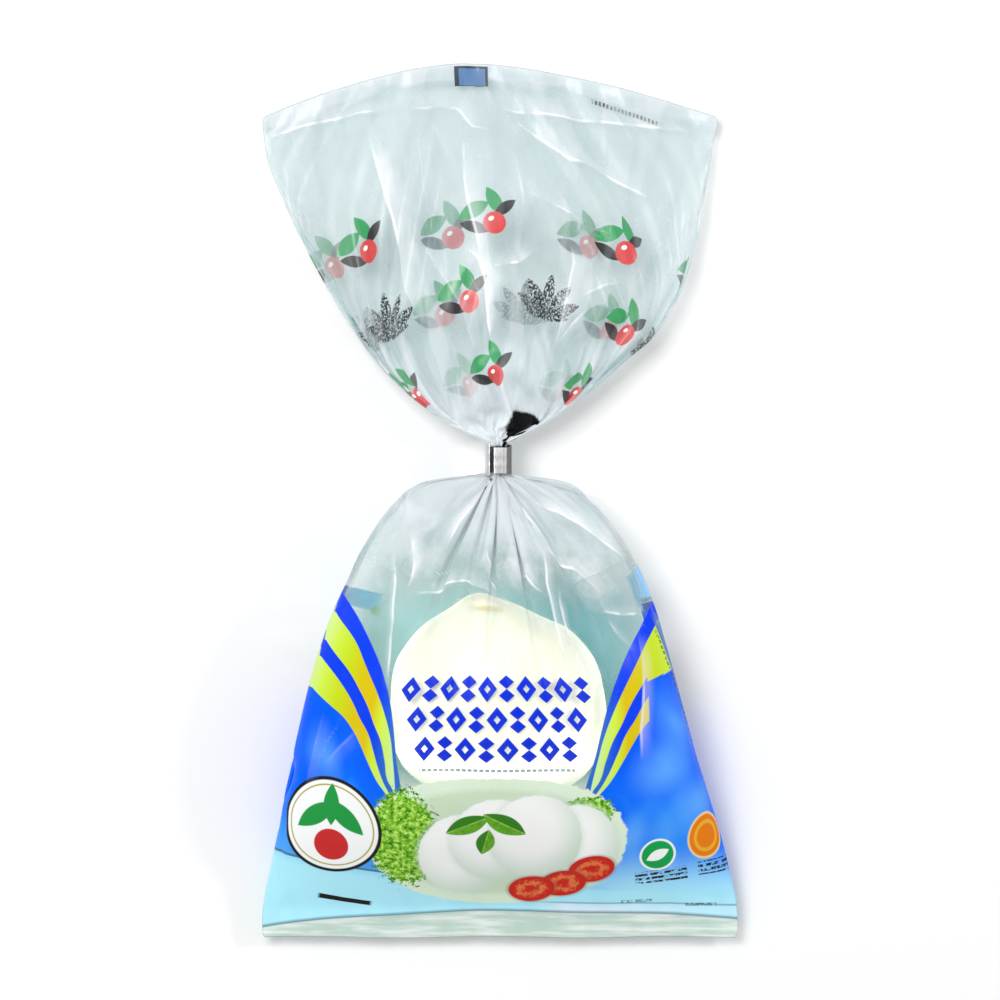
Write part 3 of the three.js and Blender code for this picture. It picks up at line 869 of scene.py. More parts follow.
def side_bands(finish, leaning):
    """Lays the bands and panels, and returns the height above the panels' horizon."""
    middle = finish.maths("MULTIPLY_ADD", finish.along, 0.085, -7.1) if leaning else 0.0
    level_off = finish.maths("MAXIMUM", finish.maths("MINIMUM", finish.across, 66.0), -67.5)
    aside = finish.maths("ABSOLUTE", finish.maths("SUBTRACT", level_off, middle))
    if leaning:
        # A pale painted light over the window's foot, where shade would fall between the ball and the bands.
        finish.paint(finish.ramp(finish.along, 58, 68, 0.85, 0.0), FOOT_PAINTED_LIGHT)
    else:
        aside = finish.maths("SUBTRACT", aside, 6.0)
    yellow = finish.shades(aside, YELLOW)
    blue = finish.mix(finish.ramp(aside, 33, 42), (*BAND_BLUE_LOW, 1), (*BAND_BLUE, 1))
    horizon = finish.maths("MULTIPLY_ADD", finish.across, 0.108, -21.2)
    above = finish.maths("ADD", finish.along, horizon)
    cloud = finish.drawn_noise(0.045, 0.03, 2, 0.5)
    sky = finish.ramp(above, 0, 12, 0.0, -60)
    drifting = finish.maths("MULTIPLY_ADD", finish.maths("SUBTRACT", cloud, 0.5), sky, above)
    panel = finish.shades(drifting, PANEL)
    if leaning:
        for place, half in PANEL_LIGHTS:
            light = finish.ramp(finish.oval(place, half, 20), 0.0, 1.7, 0.8, 0.0)
            light = finish.maths("MULTIPLY", light, finish.ramp(cloud, 0.30, 0.55, 0.5, 1.0))
            panel = finish.mix(light, panel, (*PANEL_LIGHT, 1))
        foot = finish.maths("MULTIPLY", finish.ramp(above, -1, 20, 0.9, 0.0),
                            finish.ramp(finish.across, 5, 45))
        panel = finish.mix(foot, panel, (*PANEL[0][1], 1))
    slipped = finish.maths("MULTIPLY", finish.ramp(finish.across, -74.8, -73.8), finish.ramp(finish.along, 88, 92))
    slipped = finish.maths("MULTIPLY", slipped, finish.ramp(finish.across, -70.0, -68.6, -2.8, 0.0))
    slipped = finish.maths("ADD", finish.along, slipped)
    for edge, colour in zip(BAND_EDGES, (blue, yellow, blue, yellow, panel)):
        beyond = finish.maths("SUBTRACT", aside, finish.curve(slipped, edge))
        finish.paint(finish.maths("MULTIPLY_ADD", beyond, 3.5, 0.5, clamp=True), colour, edge is BAND_EDGES[0])
    if leaning:
        folded = finish.maths("ADD", finish.across, finish.maths("MULTIPLY_ADD", finish.along, -0.2, -34.9))
        under = finish.maths("SUBTRACT", finish.maths("MULTIPLY_ADD", folded, 0.1, 88.2), finish.along)
        over = finish.maths("SUBTRACT", finish.maths("MULTIPLY_ADD", folded, 0.52, 92.0), finish.along)
        slack = finish.maths("MINIMUM", finish.maths("MULTIPLY", under, -1), over)
        finish.paint(finish.within(finish.maths("MINIMUM", folded, slack), -2.5, 0.2), yellow, False)
        finish.paint(finish.within(finish.maths("MINIMUM", folded, under), -2.5, 0.2), panel, False)
        beyond = finish.maths("ADD", finish.across, finish.maths("MULTIPLY_ADD", finish.along, 0.158, -79.7))
        turned = finish.maths("MINIMUM", beyond, finish.maths("SUBTRACT", finish.along, 64))
        turned = finish.maths("MULTIPLY", finish.within(turned, -2.0, 0.3),
                              finish.ramp(finish.along, 103, 109, 1, 0))
        finish.paint(turned, SEAM_BLUE, False)
    finish.paint(finish.ramp(finish.along, WINDOW_FOOT - 1, WINDOW_FOOT + 1, 1.0, 0.0), panel)
    return above


def bare_strip(finish):
    """Takes the print off the bottom weld, bare and crimped with painted light, below a painted shadow line."""
    bow = finish.maths("MULTIPLY", finish.across, finish.across)
    bow = finish.maths("MULTIPLY", bow, finish.ramp(finish.across, -25, 25, -0.0009, -0.00042))
    below = finish.maths("ADD", bow, finish.maths("SUBTRACT", 8.6, finish.along))
    # A painted shadow along the print's lower edge.
    line = finish.maths("ABSOLUTE", finish.maths("ADD", below, 0.1))
    line = finish.maths("SUBTRACT", 1.0, line, clamp=True)
    finish.paint(finish.maths("MULTIPLY", line, 0.75), STRIP_SHADOW)
    # The crimps run between the shaded grey-green and painted highlights.
    crimp = finish.drawn_noise(0.05, 0.55, 3, 0.55)
    strip = finish.mix(finish.ramp(crimp, 0.35, 0.72), (*STRIP_SHADE, 1), (*STRIP_HIGHLIGHT, 1))
    bare = finish.maths("MULTIPLY_ADD", below, 3.0, 0.0, clamp=True)
    finish.colour = finish.mix(bare, finish.colour, strip)
    finish.cover = finish.maths("SUBTRACT", finish.cover, finish.maths("MULTIPLY", bare, 0.45), clamp=True)


# The front's picture: a serving plate with slices of the cheese, salad, tomato and basil.
# The bare strip's painted shadow line, and the strip's shaded grey-green with painted highlights on its crimps.
STRIP_SHADOW = (0.05, 0.07, 0.075)
STRIP_SHADE, STRIP_HIGHLIGHT = (0.62, 0.80, 0.71), (0.94, 1.0, 0.96)
PLATE = (0.74, 0.88, 0.70)
PLATE_WELL = (0.62, 0.76, 0.55)
SLICE = (0.99, 1.0, 0.98)
SLICE_SHADE = (0.62, 0.76, 0.64)
TOMATO, TOMATO_FLESH = (0.62, 0.02, 0.012), (0.80, 0.20, 0.06)
BASIL, BASIL_RIB, BASIL_PALE = (0.04, 0.22, 0.012), (0.14, 0.44, 0.02), (0.35, 0.62, 0.12)
SALAD = [(0.30, (0.03, 0.12, 0.01)), (0.44, (0.13, 0.40, 0.02)), (0.54, (0.30, 0.66, 0.04)),
         (0.66, (0.60, 0.86, 0.22))]
BADGE_DARK, BADGE_WHITE, BADGE_GOLD = (0.015, 0.015, 0.012), (0.95, 0.98, 0.97), (0.45, 0.36, 0.03)
BADGE_LEAVES = [((-58.5, 44), (8.0, 3.0), 38), ((-49, 44.5), (8.0, 3.0), -42), ((-53.6, 48), (7.0, 2.6), 90)]
MARK_ORANGE, MARK_GREEN, MARK_WHITE = (0.78, 0.20, 0.008), (0.01, 0.36, 0.08), (0.92, 0.96, 0.92)
SLICES = [(-11, 34, -8), (23, 36, 8), (-1, 40, -4), (11, 41, 4)]
TOMATOES = [(29, 27), (20, 21), (10, 18.5)]
BASIL_LEAVES = [((-10, 47), (7.8, 3.4), 28), ((1.5, 47.5), (7.8, 3.6), -32), ((-4.5, 40), (5.6, 2.9), 78)]

front = FilmFinish("front_print", 0.10, 0.2, 1.15)
front.cloud_over([((47, 124), (9, 9), 0.75)])
above = side_bands(front, True)
front.paint(front.maths("MULTIPLY", front.ramp(front.maths("ABSOLUTE", above), 0.25, 0.6, 1.0, 0.0),
                        front.ramp(front.across, -45, 5, 0.8, 0.0)), (0.05, 0.12, 0.13), False)

aside = front.maths("ADD", front.across, 0.8)
arch = front.maths("MULTIPLY_ADD", front.maths("MULTIPLY", aside, aside), 0.0048, front.along)
level = front.maths("MULTIPLY_ADD", arch, 1 / 10.35, -70.55 / 10.35)
row_number = front.maths("FLOOR", level)
up = front.maths("ABSOLUTE", front.maths("SUBTRACT", front.maths("FRACT", level), 0.5))
cell = front.maths("MULTIPLY_ADD", row_number, 0.5, front.maths("MULTIPLY", aside, 1 / 6.6))
sideways = front.maths("ABSOLUTE", front.maths("SUBTRACT", front.maths("FRACT", cell), 0.5))
lozenge = front.maths("MULTIPLY_ADD", up, 10.35 / 4.4, front.maths("MULTIPLY", sideways, 6.6 / 3.4))
hollow = front.maths("ABSOLUTE", front.maths("SUBTRACT", lozenge, 0.66))
pair = front.maths("ABSOLUTE", front.maths("SUBTRACT", up, 0.22))
pair = front.maths("MULTIPLY_ADD", pair, 10.35 / 2.3, front.maths("MULTIPLY", sideways, 6.6 / 2.6))
halved = front.maths("MULTIPLY", front.maths("FLOOR", cell), 0.5)
odd = front.maths("GREATER_THAN", front.maths("FRACT", halved), 0.25)
glyph = front.within(hollow, 14, 0.34)
glyph = front.maths("MULTIPLY_ADD", odd, front.maths("SUBTRACT", front.within(pair, 12), glyph), glyph)
reach = front.maths("MULTIPLY_ADD", row_number, 3.3, 26.4)
reach = front.maths("SUBTRACT", reach, front.maths("ABSOLUTE", aside))
rows = front.within(front.maths("ABSOLUTE", front.maths("SUBTRACT", level, 1.5)), 50, 1.49)
glyph = front.maths("MULTIPLY", front.maths("MULTIPLY", glyph, rows), front.maths("GREATER_THAN", reach, 0))
front.paint(glyph, INK_BLUE)
dashes = front.within(front.maths("ABSOLUTE", front.maths("SUBTRACT", arch, 68.2)), 4, 0.5)
dashes = front.maths("MULTIPLY", dashes, front.maths("LESS_THAN", front.maths("ABSOLUTE", aside), 24.5))
broken = front.maths("FRACT", front.maths("MULTIPLY", aside, 0.55))
dashes = front.maths("MULTIPLY", dashes, front.maths("LESS_THAN", broken, 0.7))
front.paint(front.maths("MULTIPLY", dashes, 0.8), (0.02, 0.08, 0.30))

ripple = front.noise(front.flat, 0.35, 2, 0.5)
frill = front.noise(front.flat, 0.6, 3, 0.7)
plate = front.maths("MULTIPLY_ADD", ripple, 0.05, front.oval((-1.3, 38.5), (42.5, 27.5)))
front.paint(front.within(plate, 60), PLATE)
front.paint(front.within(plate, 12, 0.84), PLATE_WELL, False)
for centre, half in (((-30, 39), (12.5, 20)), ((26, 49), (11, 7))):
    bunch = front.maths("MULTIPLY_ADD", frill, 0.9, front.oval(centre, half))
    front.paint(front.within(bunch, 14, 1.35), front.shades(frill, SALAD))
for x, y, turn in SLICES:
    disc = front.maths("MULTIPLY_ADD", ripple, 0.06, front.oval((x, y), (15.0, 18.0), turn))
    front.paint(front.maths("MULTIPLY", front.within(disc, 6, 1.04), 0.55), SLICE_SHADE, False)
    lit = front.oval((x - 2.5, y + 4), (15.0, 18.0), turn)
    white = front.mix(front.ramp(lit, 0.45, 1.35), (*SLICE, 1), (*SLICE_SHADE, 1))
    front.paint(front.within(disc, 30), white, False)
for place in TOMATOES:
    disc = front.oval(place, (7.4, 5.6), 12)
    pulp = front.maths("ABSOLUTE", front.maths("SUBTRACT", disc, 0.48))
    pulp = front.maths("MULTIPLY_ADD", frill, 0.9, pulp)
    flesh = front.mix(front.ramp(pulp, 0.45, 0.72, 1.0, 0.0), (*TOMATO, 1), (*TOMATO_FLESH, 1))
    front.paint(front.maths("MULTIPLY", front.within(disc, 5, 1.08), 0.5), (0.16, 0.10, 0.06), False)
    front.paint(front.within(disc, 18), flesh, False)
for place, half, turn in BASIL_LEAVES:
    blade = front.leaf(place, half, turn)
    _, rib, _ = front.split(front.lay(place, half, turn))
    green = front.mix(front.ramp(rib, -0.05, 0.05), (*BASIL_RIB, 1), (*BASIL, 1))
    green = front.mix(front.within(front.maths("ABSOLUTE", rib), 12, 0.06), green, (*BASIL_PALE, 1))
    green = front.mix(front.ramp(frill, 0.35, 0.7, 0.0, 0.5), green, (*BASIL, 1))
    front.paint(front.within(blade, 10), green, False)

badge = front.oval((-53.6, 40.5), (16.5, 16.5))
front.paint(front.within(badge, 50), BADGE_DARK)
front.paint(front.within(badge, 50, 0.93), BADGE_WHITE, False)
rim_line = front.maths("ABSOLUTE", front.maths("SUBTRACT", badge, 0.84))
front.paint(front.within(rim_line, 50, 0.015), BADGE_GOLD, False)
for place, half, turn in BADGE_LEAVES:
    front.paint(front.within(front.leaf(place, half, turn), 10), (0.02, 0.32, 0.06), False)
front.paint(front.within(front.oval((-53.6, 34.2), (5.6, 5.6))), (0.60, 0.03, 0.03), False)
front.paint(front.within(front.block((-49.5, 13.2), (8.5, 0.9), -9), 8), BADGE_DARK)

mark = front.oval((50.1, 30.7), (5.9, 5.9))
front.paint(front.within(mark), MARK_WHITE)
front.paint(front.within(mark, 20, 0.88), MARK_GREEN, False)
front.paint(front.within(front.leaf((50.1, 30.7), (4.0, 1.9), 25), 10), MARK_WHITE, False)
mark = front.oval((66.5, 35.2), (6.6, 7.8), -12)
front.paint(front.within(mark), (0.85, 0.62, 0.30))
front.paint(front.within(mark, 20, 0.90), MARK_ORANGE, False)
inner_ring = front.maths("ABSOLUTE", front.maths("SUBTRACT", mark, 0.6))
front.paint(front.within(inner_ring, 20, 0.08), (0.80, 0.42, 0.03), False)
lines = front.maths("MULTIPLY", front.maths("MULTIPLY_ADD", front.across, -0.10, front.along), 0.62)
lines = front.maths("ABSOLUTE", front.maths("SUBTRACT", front.maths("FRACT", lines), 0.5))
words = front.maths("MULTIPLY", front.within(lines, 5, 0.30), front.ramp(frill, 0.40, 0.50))
fields = front.maths("MAXIMUM", front.within(front.block((51.5, 22.6), (8.5, 2.4), 5)),
                     front.within(front.block((69, 24.6), (5.5, 2.4), 5)))
front.paint(front.maths("MULTIPLY", words, fields), BADGE_DARK)
folded = front.maths("MULTIPLY_ADD", front.across, 0.028, front.maths("SUBTRACT", front.along, 12.9))
to_right = front.ramp(front.across, 8, 22)
front.paint(front.maths("MULTIPLY", front.maths("MULTIPLY", front.maths("LESS_THAN", folded, 0), to_right),
                        front.ramp(front.across, 20, 70, 0.7, 0.25)), (0.78, 0.87, 0.98), False)
fold_line = front.ramp(front.maths("ABSOLUTE", folded), 0.1, 0.6, 0.6, 0.0)
front.paint(front.maths("MULTIPLY", fold_line, to_right), (0.06, 0.22, 0.36), False)
marks = front.maths("MAXIMUM", front.within(front.block((43.5, 12.6), (5, 0.6), 2)),
                    front.within(front.block((64, 11.0), (5, 0.6), 2)))
marks = front.maths("MULTIPLY", marks, front.ramp(frill, 0.42, 0.5))
front.paint(front.maths("MULTIPLY", marks, 0.6), BADGE_DARK)
broken = front.maths("FRACT", front.maths("MULTIPLY", front.along, 0.55))
ticks = front.maths("MULTIPLY", front.within(front.block((65.5, 84), (18, 0.7), -81), 4),
                    front.maths("LESS_THAN", broken, 0.7))
front.paint(front.maths("MULTIPLY", ticks, front.ramp(frill, 0.40, 0.5, 0.0, 0.8)), BADGE_DARK)
bare_strip(front)

# The back's print: the same bands and panels, and a pale field with plain rules in place of words.
back = FilmFinish("back_print", 0.10, 0.2, 1.15)
side_bands(back, False)
for place, half, turn in (((-56, 112.8), (11.5, 2.9), 4), ((62.5, 117.0), (9.5, 5.0), 6)):
    back.paint(back.within(back.block(place, half, turn), 5), (0.30, 0.60, 0.93))
back.paint(back.within(back.oval((-45.5, 110.8), (2.0, 1.5))), (0.60, 0.50, 0.05))
field = back.block((0, 36), (36, 22))
back.paint(back.within(field, 60), (0.62, 0.78, 0.86))
rules = back.maths("FRACT", back.maths("MULTIPLY", back.along, 0.36))
rules = back.maths("ABSOLUTE", back.maths("SUBTRACT", rules, 0.5))
rules = back.maths("MULTIPLY", back.within(rules, 9, 0.16), back.within(field, 60, 0.9))
broken = back.ramp(back.noise(back.flat, 0.6, 4, 0.65), 0.34, 0.44)
back.paint(back.maths("MULTIPLY", rules, broken), INK_BLUE, False)
bare_strip(back)

# The fan's print: rows of small sprigs, each a tomato among leaves, with ink-drawn tufts between.
SPRIG_APART, CLOSE_APART, SPRIG_ROWS, LOWEST_ROW = 48.0, 33.0, 24.75, 198.0
SPRIG_GREEN, SPRIG_RED, SPRIG_INK = (0.03, 0.30, 0.10), (0.60, 0.05, 0.05), (0.02, 0.02, 0.02)
BLOT_INK = (0.003, 0.003, 0.004)
SPRIG_LEAVES = [((-4.2, -4.0), (5.5, 1.9), -18, SPRIG_INK), ((-4.4, 1.6), (5.8, 2.6), 24, SPRIG_GREEN),
                ((2.6, 4.4), (5.4, 2.3), 118, SPRIG_GREEN), ((6.0, 2.2), (4.8, 1.8), 40, SPRIG_INK)]
fan = FilmFinish("fan_print", 0.18, 0.25, cloudy=0.4)
whole = fan.flat
level = fan.maths("MULTIPLY_ADD", fan.along, 1 / SPRIG_ROWS, -LOWEST_ROW / SPRIG_ROWS)
row_number = fan.maths("FLOOR", level)
rows = fan.within(fan.maths("ABSOLUTE", fan.maths("SUBTRACT", level, 1.5)), 50, 1.49)
odd_row = fan.within(fan.maths("ABSOLUTE", fan.maths("SUBTRACT", row_number, 1)), 5, 0.5)
apart = fan.maths("MULTIPLY_ADD", odd_row, CLOSE_APART - SPRIG_APART, SPRIG_APART)
cell = fan.maths("DIVIDE", fan.maths("ADD", fan.across, fan.maths("MULTIPLY_ADD", odd_row, 10, 3)), apart)
cell = fan.maths("ADD", cell, fan.maths("MULTIPLY_ADD", fan.front, -0.3, 0.8))
x = fan.maths("MULTIPLY", fan.maths("SUBTRACT", fan.maths("FRACT", cell), 0.5), apart)
y = fan.maths("MULTIPLY_ADD", fan.maths("FRACT", level), SPRIG_ROWS, -SPRIG_ROWS / 2)
fan.flat = fan.node("CombineXYZ", x, y)
halved = fan.maths("MULTIPLY", fan.maths("FLOOR", cell), 0.5)
odd_cell = fan.maths("GREATER_THAN", fan.maths("FRACT", halved), 0.25)
tuft = fan.maths("MULTIPLY", odd_row, odd_cell)
sprig = fan.maths("SUBTRACT", rows, tuft, clamp=True)
drawn = fan.noise(whole, 1.3, 3, 0.6)
for place, half, turn, colour in SPRIG_LEAVES:
    fan.paint(fan.maths("MULTIPLY", fan.within(fan.leaf(place, half, turn), 8), sprig), colour)
berry = fan.oval((2.6, -2.8), (3.9, 3.7))
fan.paint(fan.maths("MULTIPLY", fan.within(berry, 14), sprig), SPRIG_RED)
fan.paint(fan.maths("MULTIPLY", fan.within(fan.oval((1.5, -1.4), (1.0, 0.7), 30), 5), sprig), MARK_WHITE)
blades = fan.leaf((0, 2.0), (6.0, 2.0), 84)
for place, turn in (((-4.6, 0.4), 128), ((4.6, 0.8), 48), ((-7.2, -2.8), 152), ((7.4, -2.6), 26)):
    blades = fan.maths("MINIMUM", blades, fan.leaf(place, (5.8, 2.0), turn))
blades = fan.maths("MINIMUM", blades, fan.leaf((0, -5.2), (9.5, 2.2)))
blades = fan.maths("MULTIPLY", fan.within(blades, 8), tuft)
fan.paint(fan.maths("MULTIPLY", blades, fan.ramp(drawn, 0.40, 0.50)), SPRIG_INK)
fan.flat = whole
blot = fan.maths("MULTIPLY_ADD", drawn, 0.18, fan.oval((29, 187.4), (23, 7.4), -9))
blot = fan.maths("MULTIPLY", fan.within(blot, 10, 1.15), fan.front)
fan.haze_and_sheen = fan.maths("MULTIPLY", fan.haze_and_sheen, fan.maths("SUBTRACT", 1.0, blot))
fan.set(specular_ior_level=fan.maths("MULTIPLY_ADD", blot, -0.4, 0.45))
fan.paint(blot, BLOT_INK)
fan.cover = fan.maths("MULTIPLY", fan.cover, fan.maths("MULTIPLY_ADD", fan.front, 0.45, 0.55))
drift = fan.drawn_noise(0.05, 0.2, 1, 0.6)
seam = fan.ramp(fan.maths("MULTIPLY_ADD", drift, 7, fan.along), FILM_LENGTH - 4.5, FILM_LENGTH, 0.0, 0.6)
fan.solid = fan.maths("ADD", fan.solid, fan.maths("MULTIPLY", seam, 0.5), clamp=True)
fan.colour = fan.mix(seam, fan.colour, FILM_HAZE_AND_SHEEN)
tab = fan.block((-6.3, 307.6), (5.6, 3.6))
fan.paint(fan.maths("MULTIPLY", fan.within(tab, 30), fan.front), (0.03, 0.05, 0.07))
tab = fan.block((-6.0, 307.2), (4.4, 2.9))
fan.paint(fan.maths("MULTIPLY", fan.within(tab, 30), fan.front), (0.09, 0.19, 0.38), False)
code = fan.maths("LESS_THAN", fan.maths("FRACT", fan.maths("MULTIPLY", fan.across, 0.8)), 0.62)
code = fan.maths("MULTIPLY", code, fan.ramp(drawn, 0.42, 0.52, 0.6, 1.0))
code = fan.maths("MULTIPLY", fan.within(fan.block((45, 304), (11, 0.7), -6), 6), code)
fan.paint(fan.maths("MULTIPLY", code, fan.front), SPRIG_INK)

# The clear film between the print and the clip: cloudy on its shoulders, with painted shade in the pinches by the
# clip.
PINCH_SHADE = (0.06, 0.06, 0.06)
PINCH_SHADOWS = [((-72, 169.6), (7, 0.9), 4), ((-66, 166.4), (9, 0.8), -6), ((-42, 168), (5, 0.7), 8),
           ((-36, 165), (3, 0.6), -20), ((19, 170.8), (7, 1.5), 0)]
clear = FilmFinish("clear_film", 0.20, 0.12, cloudy=0.2, milk_tone=SHOULDER_HAZE_AND_SHEEN)
clear.cloud_over([((23, 145), (12, 15), 0.6), ((50, 131), (13, 13), 0.5), ((-60, 138), (12, 16), 0.5),
                  ((4, 152), (18, 14), 0.4), ((-22, 150), (16, 13), 0.4), ((11, 136), (10, 8), 0.8),
                  ((47, 124), (9, 9), 0.75), ((-44, 133), (9, 8), 0.6)])
# Each pinch is painted shade, and the film's haze is taken off there.
for place, half, turn in PINCH_SHADOWS:
    pinch_shadow = clear.ramp(clear.oval(place, half, turn), 0.6, 1.1, 0.9, 0.0)
    pinch_shadow = clear.maths("MULTIPLY", pinch_shadow, clear.front)
    clear.haze_and_sheen = clear.maths("SUBTRACT", clear.haze_and_sheen, pinch_shadow, clamp=True)
    clear.paint(pinch_shadow, PINCH_SHADE)
# The clear film and the fan glow faintly, most by the neck: painted light.
for finish in (clear, fan):
    finish.set(emission_color=finish.colour,
               emission_strength=finish.ramp(finish.off_clip, 8, 75, NECK_GLOW, FILM_GLOW))
    film.data.materials.append(finish.wash(0.2))
for finish in (front, back):
    film.data.materials.append(finish.wash(0.015))
sides = flat[np.array([polygon.vertices[0] for polygon in mesh.polygons])]
slots = np.where(sides[:, 1] > BODY_FILM + CLIP_LENGTH / 2, 1, 0)
slots = np.where(sides[:, 1] < 126, np.where(sides[:, 2] > 0.5, 3, 2), slots)
mesh.polygons.foreach_set("material_index", slots.astype(np.int32))
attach(film, "root")
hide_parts("bag")

# The brine is salted whey, filled to 24 mm below the clip. It takes the film's form from inside,
# so its skin is cast from the film: rays go up and down from the middle to meet it.
BRINE_LEFT, BRINE_RIGHT = (0.30, 0.62, 0.64, 1), (0.07, 0.40, 0.46, 1)
BRINE_OVER, BRINE_UNDER = 170.0, 48.0
BRINE_INSET = 0.35
BRINE_COLUMNS = 72
BRINE_ROWS = np.linspace(bag_low[1] + BODY_WELD + 0.6, WATERLINE, 58)

skin_tree = BVHTree.FromObject(film, bpy.context.evaluated_depsgraph_get())
cheese_tree = BVHTree.FromObject(cheese, bpy.context.evaluated_depsgraph_get())


def meet(tree, x, y, z, way):
    """Height in millimetres where a ray from (x, y, z) meets a skin, going up (1) or down (-1)."""
    hit = tree.ray_cast(Vector((x, y, z)) / MM, Vector((0, 0, way)))[0]
    return None if hit is None else hit.z * MM


def smooth(field, passes):
    """Evens a grid out with its neighbours, keeping its rim."""
    for _ in range(passes):
        padded = np.pad(field, 1, mode="edge")
        around = padded[:-2, 1:-1] + padded[2:, 1:-1] + padded[1:-1, :-2] + padded[1:-1, 2:]
        field = field * 0.5 + around * 0.125
    return field


film_points = film_rows.reshape(-1, 3)
share = np.linspace(0, 1, BRINE_COLUMNS)
share = 0.5 - 0.5 * np.cos(np.pi * share)
brine_x, brine_top, brine_under = (np.zeros((len(BRINE_ROWS), BRINE_COLUMNS)) for _ in range(3))
for row, y in enumerate(BRINE_ROWS):
    near = film_points[np.abs(film_points[:, 1] - y) < 1.6]
    brine_x[row] = near[:, 0].min() + 1.0 + share * (np.ptp(near[:, 0]) - 2.0)
    for column, x in enumerate(brine_x[row]):
        spot = np.array([x]), np.array([y])
        middle = float(height(TOP, *spot)[0] + height(UNDER, *spot)[0]) / 2
        over, under = meet(skin_tree, x, y, middle, 1), meet(skin_tree, x, y, middle, -1)
        brine_top[row, column] = middle if over is None else over
        brine_under[row, column] = middle if under is None else under
even_top, even_under = smooth(brine_top, 3), smooth(brine_under, 3)
brine_top = np.minimum(even_top, brine_top) - BRINE_INSET
brine_under = np.maximum(even_under, brine_under) + BRINE_INSET
middle = (brine_top + brine_under) / 2
closed = (brine_top - brine_under) < 0.1
closed[:, 0] = closed[:, -1] = True
brine_top = np.where(closed, middle + 0.05, brine_top)
brine_under = np.where(closed, middle - 0.05, brine_under)

points, depths = [], []
for heights, way, reach in ((brine_top, 1, BRINE_OVER), (brine_under, -1, BRINE_UNDER)):
    for row, y in enumerate(BRINE_ROWS):
        wave = 0.7 * np.sin(brine_x[row] * 0.13 + 1.0) + 0.4 * np.sin(brine_x[row] * 0.37)
        for column, x in enumerate(brine_x[row]):
            z = heights[row, column]
            cheese_z = meet(cheese_tree, x, y, z + way * 1.0, -way)
            right_through = brine_top[row, column] - brine_under[row, column]
            deep = right_through if cheese_z is None else abs(z - cheese_z)
            depths.append(deep / reach * min(0.15 + (WATERLINE - y) / 22, 1))
            points.append((x / MM, (y + wave[column] * (row / len(BRINE_ROWS)) ** 8) / MM, z / MM))
top_at = lambda row, column: row * BRINE_COLUMNS + column
under_at = lambda row, column: (len(BRINE_ROWS) + row) * BRINE_COLUMNS + column
faces = []
last_row, last_column = len(BRINE_ROWS) - 1, BRINE_COLUMNS - 1
for row in range(last_row):
    for column in range(last_column):
        ring = (row, column), (row, column + 1), (row + 1, column + 1), (row + 1, column)
        faces.append([top_at(*corner) for corner in ring])
        faces.append([under_at(*corner) for corner in ring[::-1]])
    faces.append([top_at(row, 0), top_at(row + 1, 0), under_at(row + 1, 0), under_at(row, 0)])
    faces.append([top_at(row + 1, last_column), top_at(row, last_column), under_at(row, last_column),
                  under_at(row + 1, last_column)])
for column in range(last_column):
    faces.append([top_at(0, column + 1), top_at(0, column), under_at(0, column), under_at(0, column + 1)])
    faces.append([top_at(last_row, column), top_at(last_row, column + 1), under_at(last_row, column + 1),
                  under_at(last_row, column)])
mesh = bpy.data.meshes.new("brine")
mesh.from_pydata(points, [], faces)
mesh.attributes.new("depth", "FLOAT", "POINT").data.foreach_set("value", np.array(depths, np.float32))
brine = bpy.data.objects.new("brine", mesh)
bpy.context.scene.collection.objects.link(brine)
settle(brine)
whey = Finish("brine", roughness=0.08, specular_ior_level=0.0)
depth = whey.node("Attribute", attribute_name="depth", output=2)
through = whey.maths("POWER", math.e, whey.maths("MULTIPLY", depth, -1))
x = whey.tree.nodes.new("ShaderNodeSeparateXYZ")
whey.feed(x.inputs[0], whey.node("TexCoord", output=3))
whey.set(base_color=whey.mix(whey.ramp(x.outputs[0], -0.02, 0.03), BRINE_LEFT, BRINE_RIGHT),
         alpha=whey.maths("SUBTRACT", 1.0, through))
mesh.materials.append(whey.material)
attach(brine, "root")

# The clip is a strip of bright aluminium bent round the gathered neck and crimped. Its ends do not
# quite meet, which leaves a dark seam on the upper side, and the front end sits a little lower.
CLIP_STEEL, CLIP_GREY, CLIP_SIDE_SHADE = (0.86, 0.86, 0.87, 1), (0.52, 0.52, 0.53, 1), (0.16, 0.16, 0.17, 1)
CLIP_WALL = 0.00055
CLIP_DROP, CLIP_LIFT = 0.0013, 0.0007
CLIP_SEAM = (-0.0030, -0.0022)
CLIP_SPLIT = -0.0026
clip_middle = (clip_low + clip_high) / 2 / MM
clip_half = (clip_high - clip_low) / 2 / MM

bpy.ops.mesh.primitive_circle_add(vertices=96, radius=1.0, rotation=(math.radians(90), 0, 0))
clip = bpy.context.object
clip.name = "neck_clip"
settle(clip)
for vertex in clip.data.vertices:
    x, z = vertex.co.x, vertex.co.z
    vertex.co.x = math.copysign(abs(x) ** 0.5, x) * (clip_half[0] - CLIP_WALL / 2)
    vertex.co.z = math.copysign(abs(z) ** 0.5, z) * (clip_half[2] - CLIP_WALL / 2)
    vertex.co.y = -clip_half[1]
middle_x = clip_middle[0]
pick(clip, lambda place: place.z > 0 and CLIP_SEAM[0] < place.x + middle_x < CLIP_SEAM[1])
bpy.ops.mesh.delete(type="VERT")
bpy.ops.mesh.select_all(action="SELECT")
for _ in range(8):
    bpy.ops.mesh.extrude_region_move(TRANSFORM_OT_translate={"value": (0, clip_half[1] / 4, 0)})
bpy.ops.mesh.select_all(action="SELECT")
bpy.ops.mesh.normals_make_consistent(inside=False)
bpy.ops.object.mode_set(mode="OBJECT")
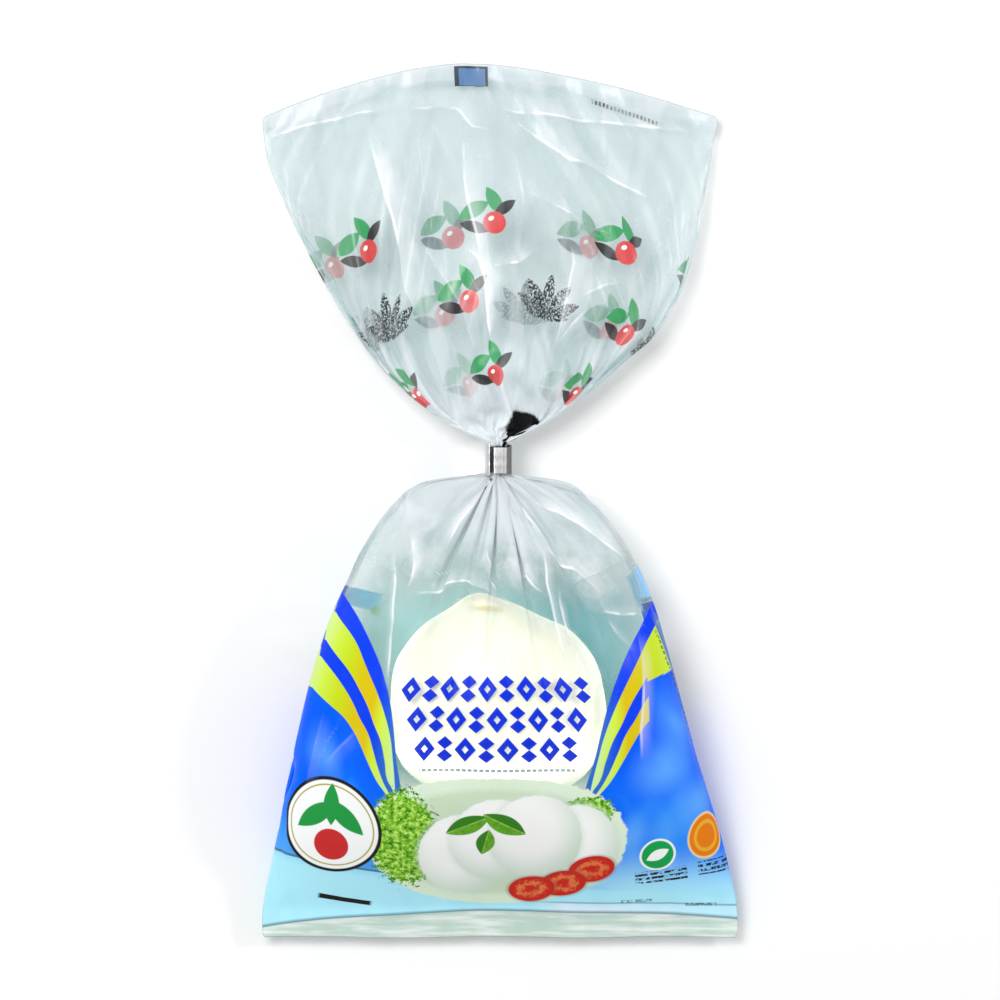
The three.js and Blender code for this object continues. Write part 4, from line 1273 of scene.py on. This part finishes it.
for vertex in clip.data.vertices:
    rise = (vertex.co.z / clip_half[2] + 1) / 2
    front_end = vertex.co.x + middle_x > CLIP_SPLIT
    if front_end:
        vertex.co.y -= CLIP_DROP * rise * (vertex.co.y / clip_half[1] + 1) / 2
        vertex.co.y += CLIP_LIFT * rise * (1 - vertex.co.y / clip_half[1]) / 2
    vertex.co.z -= 0.00018 * max(0, math.cos(vertex.co.y * 1900)) * (vertex.co.z > 0)
    if front_end and vertex.co.z > 0:
        vertex.co.z += 0.0003 * max(0, 1 - vertex.co.x / 0.003)
apply_modifier(clip, "SOLIDIFY", thickness=CLIP_WALL, offset=0.0)
apply_modifier(clip, "BEVEL", width=0.00012, segments=2, limit_method="ANGLE")
clip.location = clip_middle
settle(clip)
bpy.context.view_layer.objects.active = clip
clip.select_set(True)
bpy.ops.object.shade_smooth_by_angle(angle=math.radians(35))
steel = Finish("clip_aluminium", metallic=1.0, roughness=0.34)
place = steel.node("TexCoord", output=3)
brushed = steel.noise(steel.node("VectorMath", place, (2600, 60, 2600), operation="MULTIPLY"), 1, 3, 0.6)
colour = steel.mix(steel.ramp(brushed, 0.35, 0.65), CLIP_GREY, CLIP_STEEL)
# The right side of the strip, past the bend, is painted darker as shade, and is rougher.
bent = steel.node("VectorMath", place, (1 / MM, 0, 0), operation="SUBTRACT")
bent = steel.node("VectorMath", bent, (1, 0, 0), operation="DOT_PRODUCT", output=1)
side_shade = steel.ramp(bent, 0.0008, 0.0013)
steel.set(base_color=steel.mix(steel.maths("MULTIPLY", side_shade, 0.85), colour, CLIP_SIDE_SHADE),
          roughness=steel.maths("MULTIPLY_ADD", side_shade, 0.35, steel.ramp(brushed, 0.3, 0.7, 0.48, 0.34)))
steel.bump(brushed, 0.00004, 0.5)
clip.data.materials.append(steel.material)
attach(clip, "root")
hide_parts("clip")

# A plain pale floor under the pack, wide enough for every view.
FLOOR_WHITE = (0.93, 0.93, 0.93, 1)
bpy.ops.mesh.primitive_plane_add(size=6)
floor = bpy.context.object
floor.name = "floor"
paper = Finish("floor_paper", roughness=0.9, specular_ior_level=0.1, base_color=FLOOR_WHITE)
floor.data.materials.append(paper.material)

# Soft studio light: a bright even sky, one broad lamp from the upper left and a small low one
# that picks out the film's edges.
def lamp(name, place, size, power):
    bpy.ops.object.light_add(type="AREA", location=place)
    light = bpy.context.object
    light.name = name
    light.data.size = size
    light.data.energy = power
    light.rotation_euler = (-Vector(place)).to_track_quat("-Z", "Y").to_euler()


lamp("key_lamp", (-0.35, 0.3, 0.9), 0.5, 6.5)
lamp("rim_lamp", (0.75, 0.2, 0.5), 0.12, 2)
world = bpy.data.worlds.new("studio")
bpy.context.scene.world = world
world.use_nodes = True
world.node_tree.nodes["Background"].inputs["Color"].default_value = (1, 1, 1, 1)
world.node_tree.nodes["Background"].inputs["Strength"].default_value = 0.52
bpy.context.scene.view_settings.view_transform = "Standard"
